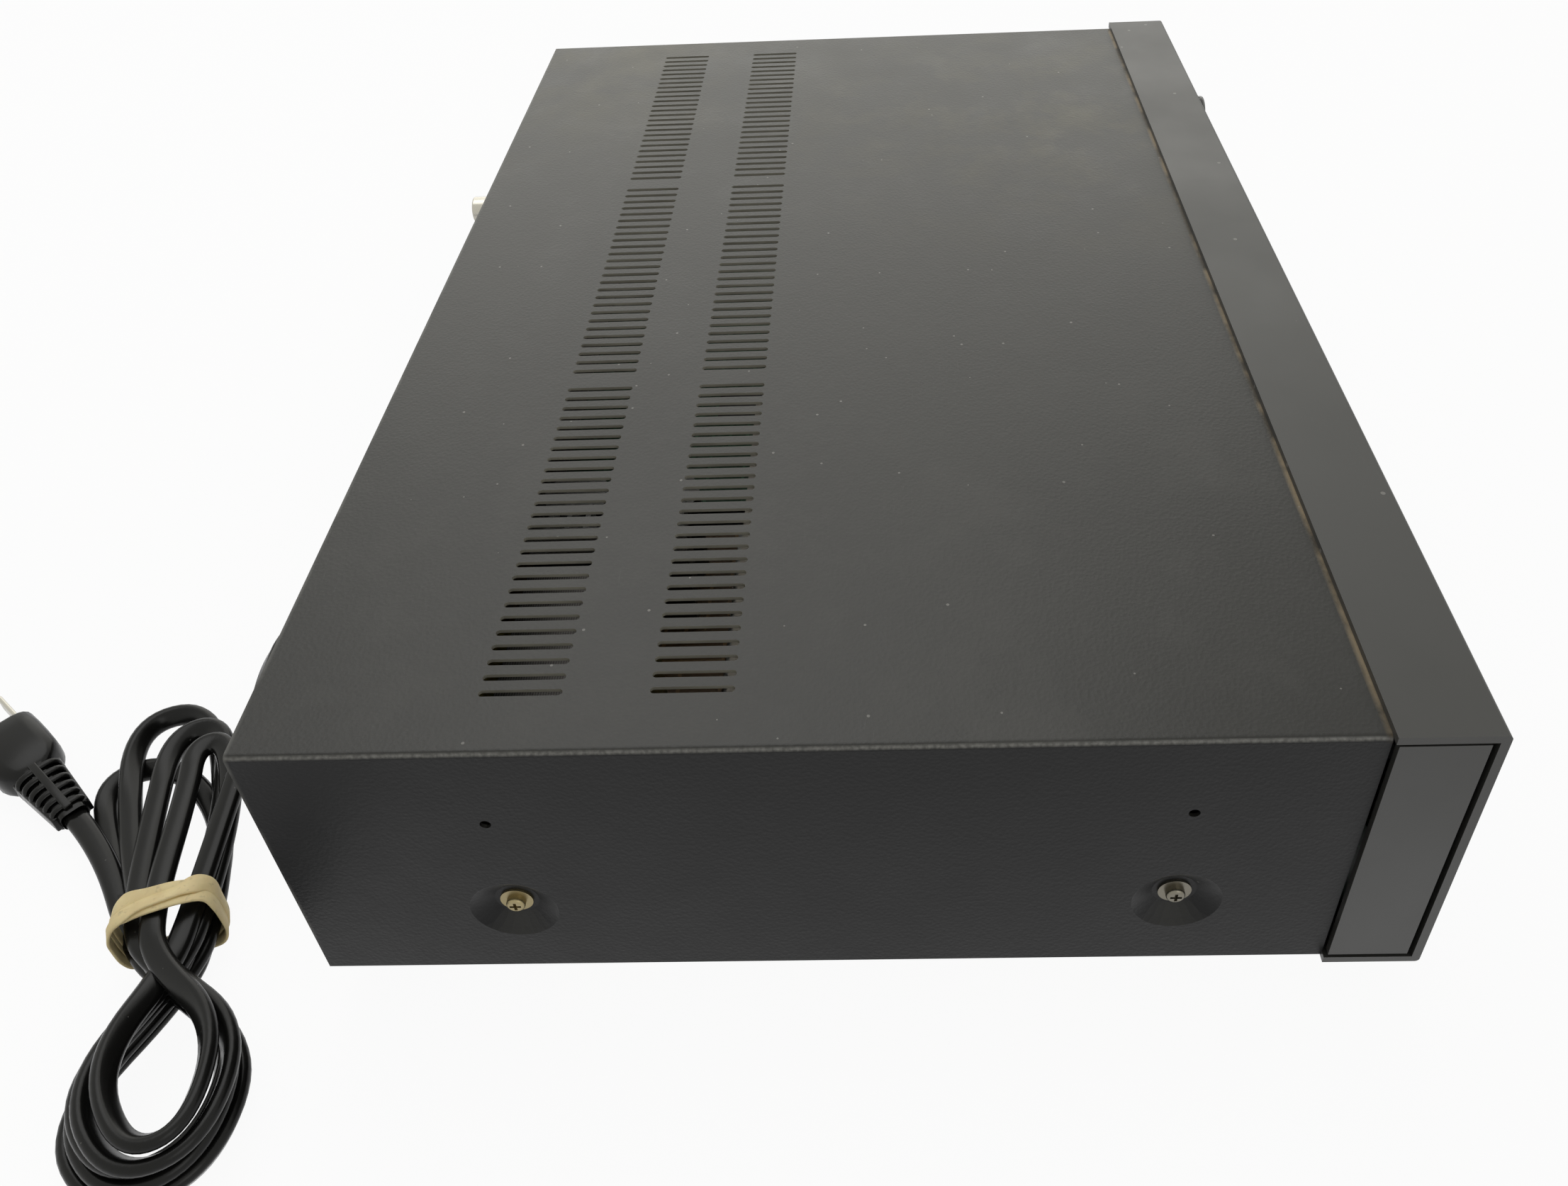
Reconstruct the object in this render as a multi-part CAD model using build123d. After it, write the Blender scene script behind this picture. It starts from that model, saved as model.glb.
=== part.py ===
from build123d import *
import os
from math import atan2, cos, degrees, hypot, pi, radians, sin, tan

# CD recorder, full width, seen from the front: X to the right, Y to the rear, Z up from the table.
# The origin is under the middle of the unit. All sizes are in millimetres.

# Case
bezel_width = 435.0
bezel_depth = 25.3
bezel_wall = 2.3
bezel_side_step = 1.75
bezel_top_step = 1.85
bezel_bottom_step = 1.0
bezel_corner = 1.2
cover_depth = 267.5
cover_height = 88.8
cover_sheet = 1.0
cover_bend = 1.6
cover_hem = 10.0
foot_height = 13.0
knob_reach = 16.0
cap_reach = 12.0

cover_width = bezel_width - 2 * bezel_side_step
cover_bottom = foot_height - cover_sheet
cover_top = cover_bottom + cover_height
bezel_bottom = cover_bottom - bezel_bottom_step
bezel_top = cover_top + bezel_top_step
unit_depth = knob_reach + bezel_depth + cover_depth + cap_reach
bezel_front = knob_reach - unit_depth / 2
bezel_back = bezel_front + bezel_wall
seam = bezel_front + bezel_depth
rear_edge = seam + cover_depth

# Vent slots in the top
vent_length = 20.5
vent_slot_width = 2.0
vent_pitch = 5.0
vent_count = 26
vent_group_pitch = 135.0
vent_rows_from_rear = [66.0, 107.6]

# Side holes, dimples and cover screws
side_hole_radius = 1.4
side_hole_height = 62.2
side_hole_front = 226.4
side_hole_rear = 56.0
dimple_height = 25.8
dimple_radius = 11.5
dimple_floor_radius = 5.75
dimple_depth = 3.4
screw_radius = 1.5
screw_hole_gap = 0.2
screw_length = 8.0
screw_head_radius = 2.5
screw_head_height = 2.0
screw_washer_radius = 4.3
screw_washer_height = 0.6
screw_recess_width = 0.8
screw_recess_span = 3.0
screw_recess_depth = 1.1

# Chassis and rear panel
chassis_sheet = 1.0
chassis_wall_height = 38.0
chassis_front_height = 15.0
panel_inset = 1.5
panel_sheet = 1.0
panel_lip = 10.0
fit_gap = 0.3
board_height = 8.0
board_thick = 1.6
standoff_radius = 3.5

# Feet
foot_radius = 20.0
foot_waist = 17.5
foot_from_side = 57.5
foot_spread = bezel_width / 2 - foot_from_side
foot_from_front = 28.0
foot_from_rear = 34.0
foot_screw_sink = 7.0
foot_screw_head_radius = 4.0
foot_screw_head_height = 3.0
foot_screw_radius = 2.0

# End caps of the bezel
end_gap = 1.0
end_front_gap = 1.4
end_thick = 2.0
end_inset = 0.25
end_tab = 12.0

# Tray and drive, placed from the middle of the disc and from the seam behind the bezel
drive_x = -128.0
disc_from_seam = 54.0
disc_radius = 60.0
disc_gap = 0.5
small_disc_radius = 40.0
tray_travel = 140.0
tray_bottom = 62.0
tray_height = 9.0
tray_floor = 3.0
small_disc_step = 1.0
tray_side = 2.5
tray_rear_from_seam = 150.0
tray_slot_radius = 24.0
rail_reach = 4.0
rail_height = 3.0
slide_gap = 0.3
drive_width = 146.0
drive_wall = 3.0
drive_floor = 34.0
drive_floor_thick = 2.0
drive_top = 80.0
drive_front_from_seam = -4.0
drive_rear_from_seam = 155.0
ledge_height = 6.0
drive_post_radius = 5.0
lid_sheet = 1.0
tray_front_width = 146.0
tray_front_height = 22.0
tray_front_thick = 2.3
tray_front_gap = 0.5
tray_front_web = 1.7

# Tray gear, belt and motor
gear_teeth = 20
gear_module = 1.0
gear_thick = 3.8
gear_tooth_share = 0.40
gear_from_seam = 13.5
rack_x = 50.0
rack_back = 8.0
rack_height = 4.0
rack_front_from_seam = 1.0
pin_radius = 1.5
running_gap = 0.05
pulley_thick = 4.0
pulley_flange = 0.8
pulley_radius = 12.0
pulley_rim = 1.5
motor_pulley_radius = 3.2
motor_pulley_rim = 1.3
belt_size = 1.2
motor_x = -6.0
tray_motor_radius = 12.0
motor_shaft_radius = 1.0

# Traverse with the spindle and the laser sled
traverse_half_width = 40.0
traverse_front_from_seam = 28.0
traverse_rear_from_seam = 134.0
traverse_plate = 2.0
traverse_bottom = 50.0
pivot_from_seam = 129.5
pivot_radius = 2.0
pivot_length = 6.0
pivot_post = 5.0
window_half_width = 32.0
window_front_from_seam = 69.0
window_rear_from_seam = 123.0
spindle_motor_radius = 12.0
spindle_motor_height = 9.0
spindle_radius = 1.5
turntable_radius = 15.0
turntable_bottom = 61.6
turntable_top = 68.0
hub_cone_radius = 7.4
hub_cone_height = 2.0
rod_radius = 1.5
rod_spread = 18.0
rod_height = 56.0
rod_block = 4.0
rod_front_from_seam = 63.5
rod_rear_from_seam = 128.6
screw_x = 26.0
screw_height = 55.8
lead_screw_radius = 1.5
sled_motor_radius = 5.5
sled_motor_length = 17.0
sled_front_from_seam = 68.2
sled_length = 24.0
sled_travel = 32.0
sled_left = 24.0
sled_right = 31.0
sled_bottom = 53.0
sled_top = 60.8
lens_house_half = 9.0
lens_house_top = 64.0
lens_radius = 6.0
lens_well_gap = 0.4
lens_top = 65.0
lens_dome_radius = 2.5
clamp_radius = 14.0
clamp_flange_radius = 20.0
clamp_hole_radius = 16.0
clamp_bottom = 69.4
clamp_flange = 1.2
clamp_pocket_radius = 8.2

# Front panel: places are from the middle of the panel and from the table
window_x = 25.0
window_z = 74.0
window_width = 128.0
window_height = 36.0
window_rim = 2.0
window_flange = 1.2
part_gap = 0.3
button_proud = 1.2
button_travel = 1.0
button_flange = 1.5
button_flange_thick = 1.2
stem_radius = 2.0
switch_size = 6.0
switch_height = 4.0
front_board_from_seam = 8.0
transport_z = 40.0
transport_width = 20.0
transport_height = 9.0
transport_first_x = -35.0
transport_pitch = 24.0
power_button_from_side = 27.5
power_button_x = power_button_from_side - bezel_width / 2
power_button_width = 24.0
power_button_height = 12.0
low_row_z = 30.0
eject_button_x = -74.0
eject_button_width = 18.0
eject_button_height = 8.0
level_knob_from_side = 34.5
level_knob_x = bezel_width / 2 - level_knob_from_side
level_knob_z = 69.7
level_knob_radius = 8.5
phones_knob_x = -118.0
phones_knob_radius = 6.0
phones_knob_reach = 10.0
jog_from_side = 77.5
jog_x = bezel_width / 2 - jog_from_side
jog_z = 42.0
jog_radius = 17.0
jog_reach = 8.0
jog_dimple_radius = 5.0
jog_dimple_offset = 9.0
jog_dimple_depth = 1.2
knob_gap = 0.6
knob_shaft_radius = 3.0
knob_shaft_hole = 3.6
knob_flutes = 24
knob_flute_radius = 0.6
knob_flute_start = 2.0
pointer_width = 1.0
pointer_depth = 0.5
pot_size = 16.0
pot_depth = 8.0
phones_x = -150.0
phones_bore_radius = 3.25
phones_bore_depth = 15.0
phones_sleeve_radius = 4.6
phones_nut_radius = 6.5
phones_nut_height = 1.2
phones_body = 13.0

# Rear panel fittings
cap_x = 80.0
cap_z = 85.3
cap_radius = 5.4
cap_wall = 1.05
shell_collar_radius = 4.6
shell_collar_inside = 3.0
coax_shell_radius = 4.15
coax_shell_reach = 10.0
shell_bore_radius = 3.4
shell_pin_radius = 1.6
jack_body_depth = 14.0
line_jack_x = 130.0
line_jack_z = 50.0
line_jack_pitch_x = 22.0
line_jack_pitch_z = 19.0
line_jack_reach = 9.0
optical_x = 22.0
optical_z = 70.0
optical_pitch = 20.0
optical_width = 10.0
optical_height = 10.0
optical_port = 5.0
optical_port_depth = 8.0
rear_screw_head_radius = 3.0
rear_screw_head_height = 1.7
rear_screw_from_side = 17.5
rear_screw_outer = bezel_width / 2 - rear_screw_from_side
rear_screw_inner = 60.0
rear_screw_x = [-rear_screw_outer, -rear_screw_inner, rear_screw_inner, rear_screw_outer]
rear_screw_z = 93.0
rear_screw_low_z = 22.0

# Power cord, hank, band and plug
cord_radius = 2.3
gland_x = -95.0
gland_z = 36.0
gland_radius = 6.5
gland_tip_radius = 4.2
gland_reach = 18.0
gland_inside = 10.0
hank_x = -205.0
hank_y = 196.4
hank_angle = 21.5
layer_step = 5.2
waist_half = 4.5
lead_gap = 4.6
lower_reach = [80.0, 76.0, 70.0, 78.0, 66.0]
lower_half = [24.0, 22.0, 19.0, 23.0, 18.0]
lower_shift = [6.0, 5.0, 3.0, 2.0, 0.0]
upper_reach = [82.0, 100.0, 91.0, 80.0]
upper_shift = [6.0, 3.0, -2.0, -5.0]
upper_tip_half = 11.0
upper_shoulder = [48.0, 17.0]
upper_right_edge = -20.0
band_wall = 1.5
band_width = 9.0
band_side_gap = 4.6
plug_s = 58.5
plug_t = 31.2
plug_angle = 50.7
plug_lead = 20.0
plug_centre_height = 8.3
plug_relief = 20.0
plug_head_length = 26.0
plug_head_width = 24.0
plug_head_height = 16.6
plug_head_round = 3.5
blade_length = 17.0
blade_pitch = 12.7
blade_width = 6.35
blade_thick = 1.5
unit_exit = [52.0, -24.0]
unit_exit_rise = 1.0


# Simple solids between two places

def block(x0, x1, y0, y1, z0, z1):
    return Pos((x0 + x1) / 2, (y0 + y1) / 2, (z0 + z1) / 2) * Box(x1 - x0, y1 - y0, z1 - z0)


def post(radius, z0, z1, x, y):
    return Pos(x, y, (z0 + z1) / 2) * Cylinder(radius, z1 - z0)


def rod(radius, y0, y1, x, z):
    return Pos(x, (y0 + y1) / 2, z) * Rot(90, 0, 0) * Cylinder(radius, y1 - y0)


def cross_rod(radius, x0, x1, y, z):
    return Pos((x0 + x1) / 2, y, z) * Rot(0, 90, 0) * Cylinder(radius, x1 - x0)


# Top cover: one folded sheet with slots in the top and dimples in the sides

def side_points():
    rear = rear_edge - side_hole_rear
    front = rear_edge - side_hole_front
    return [front, rear]


def top_cover():
    half = cover_width / 2
    skin = block(-half, half, seam, rear_edge, cover_bottom, cover_top)
    bends = skin.edges().filter_by(Axis.Y).group_by(Axis.Z)[-1]
    skin = fillet(bends, cover_bend)
    inner = half - cover_sheet
    hollow = block(-inner, inner, seam - 1, rear_edge + 1, cover_bottom + cover_sheet, cover_top - cover_sheet)
    inner_bends = hollow.edges().filter_by(Axis.Y).group_by(Axis.Z)[-1]
    hollow = fillet(inner_bends, cover_bend - cover_sheet)
    mouth = half - cover_hem
    open_bottom = block(-mouth, mouth, seam - 1, rear_edge + 1, cover_bottom - 1, cover_bottom + 2 * cover_sheet)
    cover = skin - hollow - open_bottom
    slots = Sketch()
    for from_rear in vent_rows_from_rear:
        for group in (-1, 0, 1):
            for number in range(vent_count):
                x = group * vent_group_pitch + (number - (vent_count - 1) / 2) * vent_pitch
                slots += Pos(x, rear_edge - from_rear) * SlotOverall(vent_length, vent_slot_width, rotation=90)
    cover -= extrude(Pos(0, 0, cover_top - 2 * cover_sheet) * slots, 3 * cover_sheet)
    for side in (-1, 1):
        for y in side_points():
            turn = Rot(0, 90 * side, 0)
            z = cover_bottom + dimple_height
            deep = dimple_depth + cover_sheet
            bump = Cone(dimple_floor_radius + cover_sheet, dimple_radius + cover_sheet, deep)
            dent = Cone(dimple_floor_radius, dimple_radius, dimple_depth)
            cover += Pos(side * (half - deep / 2), y, z) * turn * bump
            cover -= Pos(side * (half - dimple_depth / 2), y, z) * turn * dent
            cover -= cross_rod(screw_radius + screw_hole_gap, side * half - deep * 2, side * half + deep * 2, y, z)
            hole_z = cover_bottom + side_hole_height
            cover -= cross_rod(side_hole_radius, side * half - deep, side * half + deep, y, hole_z)
    return cover


# Chassis half width: its walls meet the backs of the dimples
chassis_half = cover_width / 2 - dimple_depth - cover_sheet
chassis_floor_top = foot_height + chassis_sheet
board_bottom = chassis_floor_top + board_height
board_top = board_bottom + board_thick
chassis_front = seam + 1.0
chassis_rear = rear_edge - panel_inset - panel_sheet
main_board_box = [-40.0, 200.0, seam + 20.0, seam + 235.0]
power_board_box = [-203.0, -52.0, seam + 166.0, seam + 248.0]


def foot_places():
    front = seam + foot_from_front
    rear = rear_edge - foot_from_rear
    return {"front_left": (-foot_spread, front), "front_right": (foot_spread, front),
            "rear_left": (-foot_spread, rear), "rear_right": (foot_spread, rear)}


def base_chassis():
    half = chassis_half
    tray = block(-half, half, chassis_front, chassis_rear, foot_height, chassis_floor_top)
    wall_top = foot_height + chassis_wall_height
    for side in (-1, 1):
        outer = side * half
        inner = side * (half - chassis_sheet)
        tray += block(min(outer, inner), max(outer, inner), chassis_front, chassis_rear, foot_height, wall_top)
        for y in side_points():
            z = cover_bottom + dimple_height
            tray -= cross_rod(screw_radius + screw_hole_gap / 2, outer - 3, outer + 3, y, z)
    tray += block(-half, half, chassis_front, chassis_front + chassis_sheet, foot_height,
                  foot_height + chassis_front_height)
    for x0, x1, y0, y1 in (main_board_box, power_board_box):
        for x in (x0 + 2 * standoff_radius, x1 - 2 * standoff_radius):
            for y in (y0 + 2 * standoff_radius, y1 - 2 * standoff_radius):
                tray += post(standoff_radius, chassis_floor_top, board_bottom, x, y)
    for x, y in foot_places().values():
        tray -= post(foot_screw_radius + screw_hole_gap, foot_height - 1, chassis_floor_top + 1, x, y)
    return tray


def foot(x, y):
    body = Pos(x, y, foot_height / 2) * Cone(foot_waist, foot_radius, foot_height)
    body = fillet(body.edges().group_by(Axis.Z)[0], 1.5)
    body -= post(foot_screw_head_radius + 1, -1, foot_screw_sink, x, y)
    return body - post(foot_screw_radius + screw_hole_gap, 0, foot_height + 1, x, y)


def foot_screws():
    screws = Part()
    for x, y in foot_places().values():
        head = post(foot_screw_head_radius, foot_screw_sink - foot_screw_head_height, foot_screw_sink, x, y)
        shank = post(foot_screw_radius, foot_screw_sink, chassis_floor_top + 3, x, y)
        head -= block(x - foot_screw_head_radius, x + foot_screw_head_radius, y - 0.5, y + 0.5,
                      0, foot_screw_sink - foot_screw_head_height + 1.2)
        screws += head + shank
    return screws


# Pan head screw with a cross recess, its washer face at the origin and its head up
def pan_screw(head_radius, head_height, washer_radius, washer_height, length):
    screw = Pos(0, 0, -length / 2) * Cylinder(screw_radius, length)
    if washer_height > 0:
        screw += Pos(0, 0, washer_height / 2) * Cylinder(washer_radius, washer_height)
    head = Pos(0, 0, washer_height + head_height / 2) * Cylinder(head_radius, head_height)
    head = fillet(head.edges().group_by(Axis.Z)[-1], head_height * 0.45)
    screw += head
    top = washer_height + head_height
    for turn in (0, 90):
        slot = Box(screw_recess_span, screw_recess_width, screw_recess_depth)
        screw -= Pos(0, 0, top - screw_recess_depth / 2) * Rot(0, 0, turn) * slot
    return screw


def cover_screws():
    screws = Part()
    for side in (-1, 1):
        for y in side_points():
            place = Pos(side * (cover_width / 2 - dimple_depth), y, cover_bottom + dimple_height)
            screw = pan_screw(screw_head_radius, screw_head_height, screw_washer_radius,
                              screw_washer_height, screw_length)
            screws += place * Rot(0, 90 * side, 0) * screw
    return screws


# Rear panel and what it carries
panel_back = rear_edge - panel_inset
panel_front = panel_back - panel_sheet


def line_jack_places():
    places = []
    for column in (-0.5, 0.5):
        for row in (0, 1):
            places.append((line_jack_x + column * line_jack_pitch_x, line_jack_z + row * line_jack_pitch_z))
    return places


def rear_screw_places():
    return [(x, rear_screw_z) for x in rear_screw_x] + [(x, rear_screw_low_z) for x in rear_screw_x]


def optical_places():
    return [(optical_x, optical_z), (optical_x - optical_pitch, optical_z)]


def rear_panel():
    half = chassis_half
    top = cover_top - cover_sheet - fit_gap
    panel = block(-half, half, panel_front, panel_back, chassis_floor_top, top)
    panel += block(-half, half, panel_front - panel_lip, panel_back, top - panel_sheet, top)
    for x, z in line_jack_places():
        panel -= rod(shell_collar_radius + part_gap, panel_front - 1, panel_back + 1, x, z)
    panel -= rod(shell_collar_radius + part_gap, panel_front - 1, panel_back + 1, cap_x, cap_z)
    for x, z in optical_places():
        panel -= block(x - optical_width / 2, x + optical_width / 2, panel_front - 1, panel_back + 1,
                       z - optical_height / 2, z + optical_height / 2)
    panel -= rod(gland_radius - 1.5 + part_gap, panel_front - 1, panel_back + 1, gland_x, gland_z)
    for x, z in rear_screw_places():
        panel -= rod(screw_radius + screw_hole_gap, panel_front - 1, panel_back + 1, x, z)
    return panel


def rear_screws():
    screws = Part()
    for x, z in rear_screw_places():
        screw = pan_screw(rear_screw_head_radius, rear_screw_head_height, rear_screw_head_radius, 0, screw_length)
        screws += Pos(x, panel_back, z) * Rot(-90, 0, 0) * screw
    return screws


def line_jack_block():
    wide = line_jack_pitch_x * 2
    tall = line_jack_pitch_z * 2
    mid_z = line_jack_z + line_jack_pitch_z / 2
    body = block(line_jack_x - wide / 2, line_jack_x + wide / 2, panel_front - jack_body_depth, panel_front,
                 mid_z - tall / 2, mid_z + tall / 2)
    for x, z in line_jack_places():
        body -= rod(shell_collar_radius + running_gap, panel_front - shell_collar_inside, panel_front + 1, x, z)
    return body


def jack_shell(x, z, reach):
    start = panel_front - shell_collar_inside
    shell = rod(shell_collar_radius, start, panel_back, x, z)
    shell += rod(coax_shell_radius, panel_back, panel_back + reach, x, z)
    shell -= rod(shell_bore_radius, start + 2, panel_back + reach + 1, x, z)
    return shell + rod(shell_pin_radius, start + 1, panel_back + reach - 2, x, z)


def line_jack_shells():
    shells = Part()
    for x, z in line_jack_places():
        shells += jack_shell(x, z, line_jack_reach)
    return shells


def coax_jack():
    body = block(cap_x - 7, cap_x + 7, panel_front - jack_body_depth, panel_front, cap_z - 8, cap_z + 8)
    body -= rod(shell_collar_radius, panel_front - shell_collar_inside, panel_front + 1, cap_x, cap_z)
    return body + jack_shell(cap_x, cap_z, coax_shell_reach)


def coax_cap():
    end = rear_edge + cap_reach
    cap = rod(cap_radius, panel_back + part_gap, end, cap_x, cap_z)
    cap = fillet(cap.edges().group_by(Axis.Y)[-1], 0.6)
    return cap - rod(cap_radius - cap_wall, panel_back - 1, panel_back + coax_shell_reach + part_gap, cap_x, cap_z)


def optical_jacks():
    jacks = Part()
    for x, z in optical_places():
        half = optical_width / 2 - part_gap
        jack = block(x - half, x + half, panel_front - jack_body_depth, panel_back + 1.0,
                     z - optical_height / 2 + part_gap, z + optical_height / 2 - part_gap)
        port = optical_port / 2
        jack -= block(x - port, x + port, panel_back + 1.0 - optical_port_depth, panel_back + 2,
                      z - port, z + port)
        jacks += jack
    return jacks


def cord_gland():
    neck = rod(gland_radius - 1.5, panel_front - gland_inside, panel_back, gland_x, gland_z)
    flange = rod(gland_radius + 1, panel_back, panel_back + 2.5, gland_x, gland_z)
    taper = Pos(gland_x, panel_back + gland_reach / 2, gland_z) * Rot(-90, 0, 0) * Cone(
        gland_radius, gland_tip_radius, gland_reach)
    return neck + flange + taper


# Bezel: a channel open at the rear and at both ends, with the openings of the front
def transport_places():
    names = ["play_button", "pause_button", "stop_button", "record_button", "skip_back_button",
             "skip_forward_button"]
    places = {}
    for number, name in enumerate(names):
        x = transport_first_x + number * transport_pitch
        places[name] = (x, transport_z, transport_width, transport_height)
    places["power_button"] = (power_button_x, low_row_z, power_button_width, power_button_height)
    places["eject_button"] = (eject_button_x, low_row_z, eject_button_width, eject_button_height)
    return places


def knob_places():
    return {"level_knob": (level_knob_x, level_knob_z), "phones_knob": (phones_knob_x, low_row_z),
            "jog_dial": (jog_x, jog_z)}


tray_front_z = tray_bottom + tray_height / 2 + 0.5


def front_bezel():
    half = bezel_width / 2
    shell = block(-half, half, bezel_front, seam, bezel_bottom, bezel_top)
    shell = fillet(shell.edges().filter_by(Axis.X).group_by(Axis.Y)[0], bezel_corner)
    shell -= block(-half - 1, half + 1, bezel_back, seam + 1, bezel_bottom + bezel_wall, bezel_top - bezel_wall)
    front = bezel_front - 1
    back = bezel_back + 1
    wide = tray_front_width / 2 + tray_front_gap
    tall = tray_front_height / 2 + tray_front_gap
    shell -= block(drive_x - wide, drive_x + wide, front, back, tray_front_z - tall, tray_front_z + tall)
    shell -= block(window_x - window_width / 2, window_x + window_width / 2, front, back,
                   window_z - window_height / 2, window_z + window_height / 2)
    for x, z, width, height in transport_places().values():
        wide = width / 2 + part_gap
        tall = height / 2 + part_gap
        shell -= block(x - wide, x + wide, front, back, z - tall, z + tall)
    for x, z in knob_places().values():
        shell -= rod(knob_shaft_hole, front, back, x, z)
    return shell - rod(phones_sleeve_radius + part_gap, front, back, phones_x, low_row_z)


def end_cap(side):
    outer = side * (bezel_width / 2 - end_inset)
    inner = side * (bezel_width / 2 - end_inset - end_thick)
    tab = side * (bezel_width / 2 - end_inset - end_tab)
    front = bezel_back + end_front_gap
    back = seam - end_gap
    low = bezel_bottom + bezel_wall + end_gap
    high = bezel_top - bezel_wall - end_gap
    plate = block(min(outer, inner), max(outer, inner), front, back, low, high)
    for near, far in ((low - end_gap, low + 6), (high - 6, high + end_gap)):
        plate += block(min(inner, tab), max(inner, tab), front + 4, back - 2, near, far)
    return plate


def display_window():
    wide = window_width / 2 - part_gap
    tall = window_height / 2 - part_gap
    pane = block(window_x - wide, window_x + wide, bezel_front + 0.3, bezel_back, window_z - tall, window_z + tall)
    wide = window_width / 2 + window_rim
    tall = window_height / 2 + window_rim
    return pane + block(window_x - wide, window_x + wide, bezel_back, bezel_back + window_flange,
                        window_z - tall, window_z + tall)


# Front board with its switches and the display on it
front_board_back = seam - front_board_from_seam
front_board_face = front_board_back - board_thick
drive_right = drive_x + drive_width / 2


def front_board():
    edge = bezel_width / 2 - end_tab
    low = bezel_bottom + bezel_wall + 3
    high = bezel_top - bezel_wall - 3
    board = block(-edge + 2, edge - 2, front_board_face, front_board_back, low, drive_floor + 16)
    board += block(drive_right + 10, edge - 2, front_board_face, front_board_back, low, high)
    for x, z, width, height in transport_places().values():
        half = switch_size / 2
        board += block(x - half, x + half, front_board_face - switch_height, front_board_face, z - half, z + half)
    glass_x = window_width / 2 - 8
    glass_z = window_height / 2 - 4
    board += block(window_x - glass_x, window_x + glass_x, front_board_face - 7, front_board_face,
                   window_z - glass_z, window_z + glass_z)
    return board


def button(x, z, width, height):
    flange_front = bezel_back + part_gap
    flange_back = flange_front + button_flange_thick
    cap = block(x - width / 2, x + width / 2, bezel_front - button_proud, flange_back,
                z - height / 2, z + height / 2)
    cap = fillet(cap.edges().group_by(Axis.Y)[0], 0.5)
    rim_x = width / 2 + button_flange
    rim_z = height / 2 + button_flange
    cap += block(x - rim_x, x + rim_x, flange_front, flange_back, z - rim_z, z + rim_z)
    stem_end = front_board_face - switch_height - button_travel - part_gap
    return cap + rod(stem_radius, flange_back, stem_end, x, z)


def control_pots():
    pots = Part()
    for x, z in knob_places().values():
        half = pot_size / 2
        pot = block(x - half, x + half, front_board_face - pot_depth, front_board_face, z - half, z + half)
        pots += pot - rod(knob_shaft_radius + running_gap, front_board_face - pot_depth - 1,
                          front_board_face - 2, x, z)
    return pots


def knob(x, z, radius, reach):
    skirt = bezel_front - knob_gap
    face = bezel_front - reach
    body = rod(radius, face, skirt, x, z)
    body = fillet(body.edges().group_by(Axis.Y)[0], 0.8)
    shaft_end = front_board_face - 2 - fit_gap
    return body + rod(knob_shaft_radius, skirt, shaft_end, x, z)


def fluted_knob(x, z, radius, reach):
    body = knob(x, z, radius, reach)
    skirt = bezel_front - knob_gap
    face = bezel_front - reach
    for number in range(knob_flutes):
        angle = radians(number * 360 / knob_flutes)
        body -= rod(knob_flute_radius, face + knob_flute_start, skirt + 1,
                    x + radius * cos(angle), z + radius * sin(angle))
    half = pointer_width / 2
    return body - block(x - half, x + half, face - 1, face + pointer_depth, z + radius / 3, z + radius + 1)


def jog_dial():
    body = knob(jog_x, jog_z, jog_radius, jog_reach)
    face = bezel_front - jog_reach
    return body - rod(jog_dimple_radius, face - 1, face + jog_dimple_depth, jog_x, jog_z + jog_dimple_offset)


def phones_jack():
    half = phones_body / 2
    nose = bezel_front - phones_nut_height
    body = block(phones_x - half, phones_x + half, bezel_back + fit_gap, front_board_face,
                 low_row_z - half, low_row_z + half)
    body += rod(phones_sleeve_radius, nose, bezel_back + fit_gap, phones_x, low_row_z)
    body += rod(phones_nut_radius, nose, bezel_front, phones_x, low_row_z)
    return body - rod(phones_bore_radius, nose - 1, nose + phones_bore_depth, phones_x, low_row_z)


# Drive frame: floor, walls and the ledges that guide the tray
disc_y = seam + disc_from_seam
tray_half = disc_radius + disc_gap + tray_side
drive_front = seam + drive_front_from_seam
drive_rear = seam + drive_rear_from_seam
drive_inner = drive_width / 2 - drive_wall
gear_x = drive_x + rack_x - gear_teeth * gear_module / 2
gear_y = seam + gear_from_seam
gear_top = tray_bottom - slide_gap - 0.1
gear_bottom = gear_top - gear_thick
pulley_top = gear_bottom
pulley_bottom = pulley_top - pulley_thick
pivot_y = seam + pivot_from_seam
pivot_z = traverse_bottom + traverse_plate / 2


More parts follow.
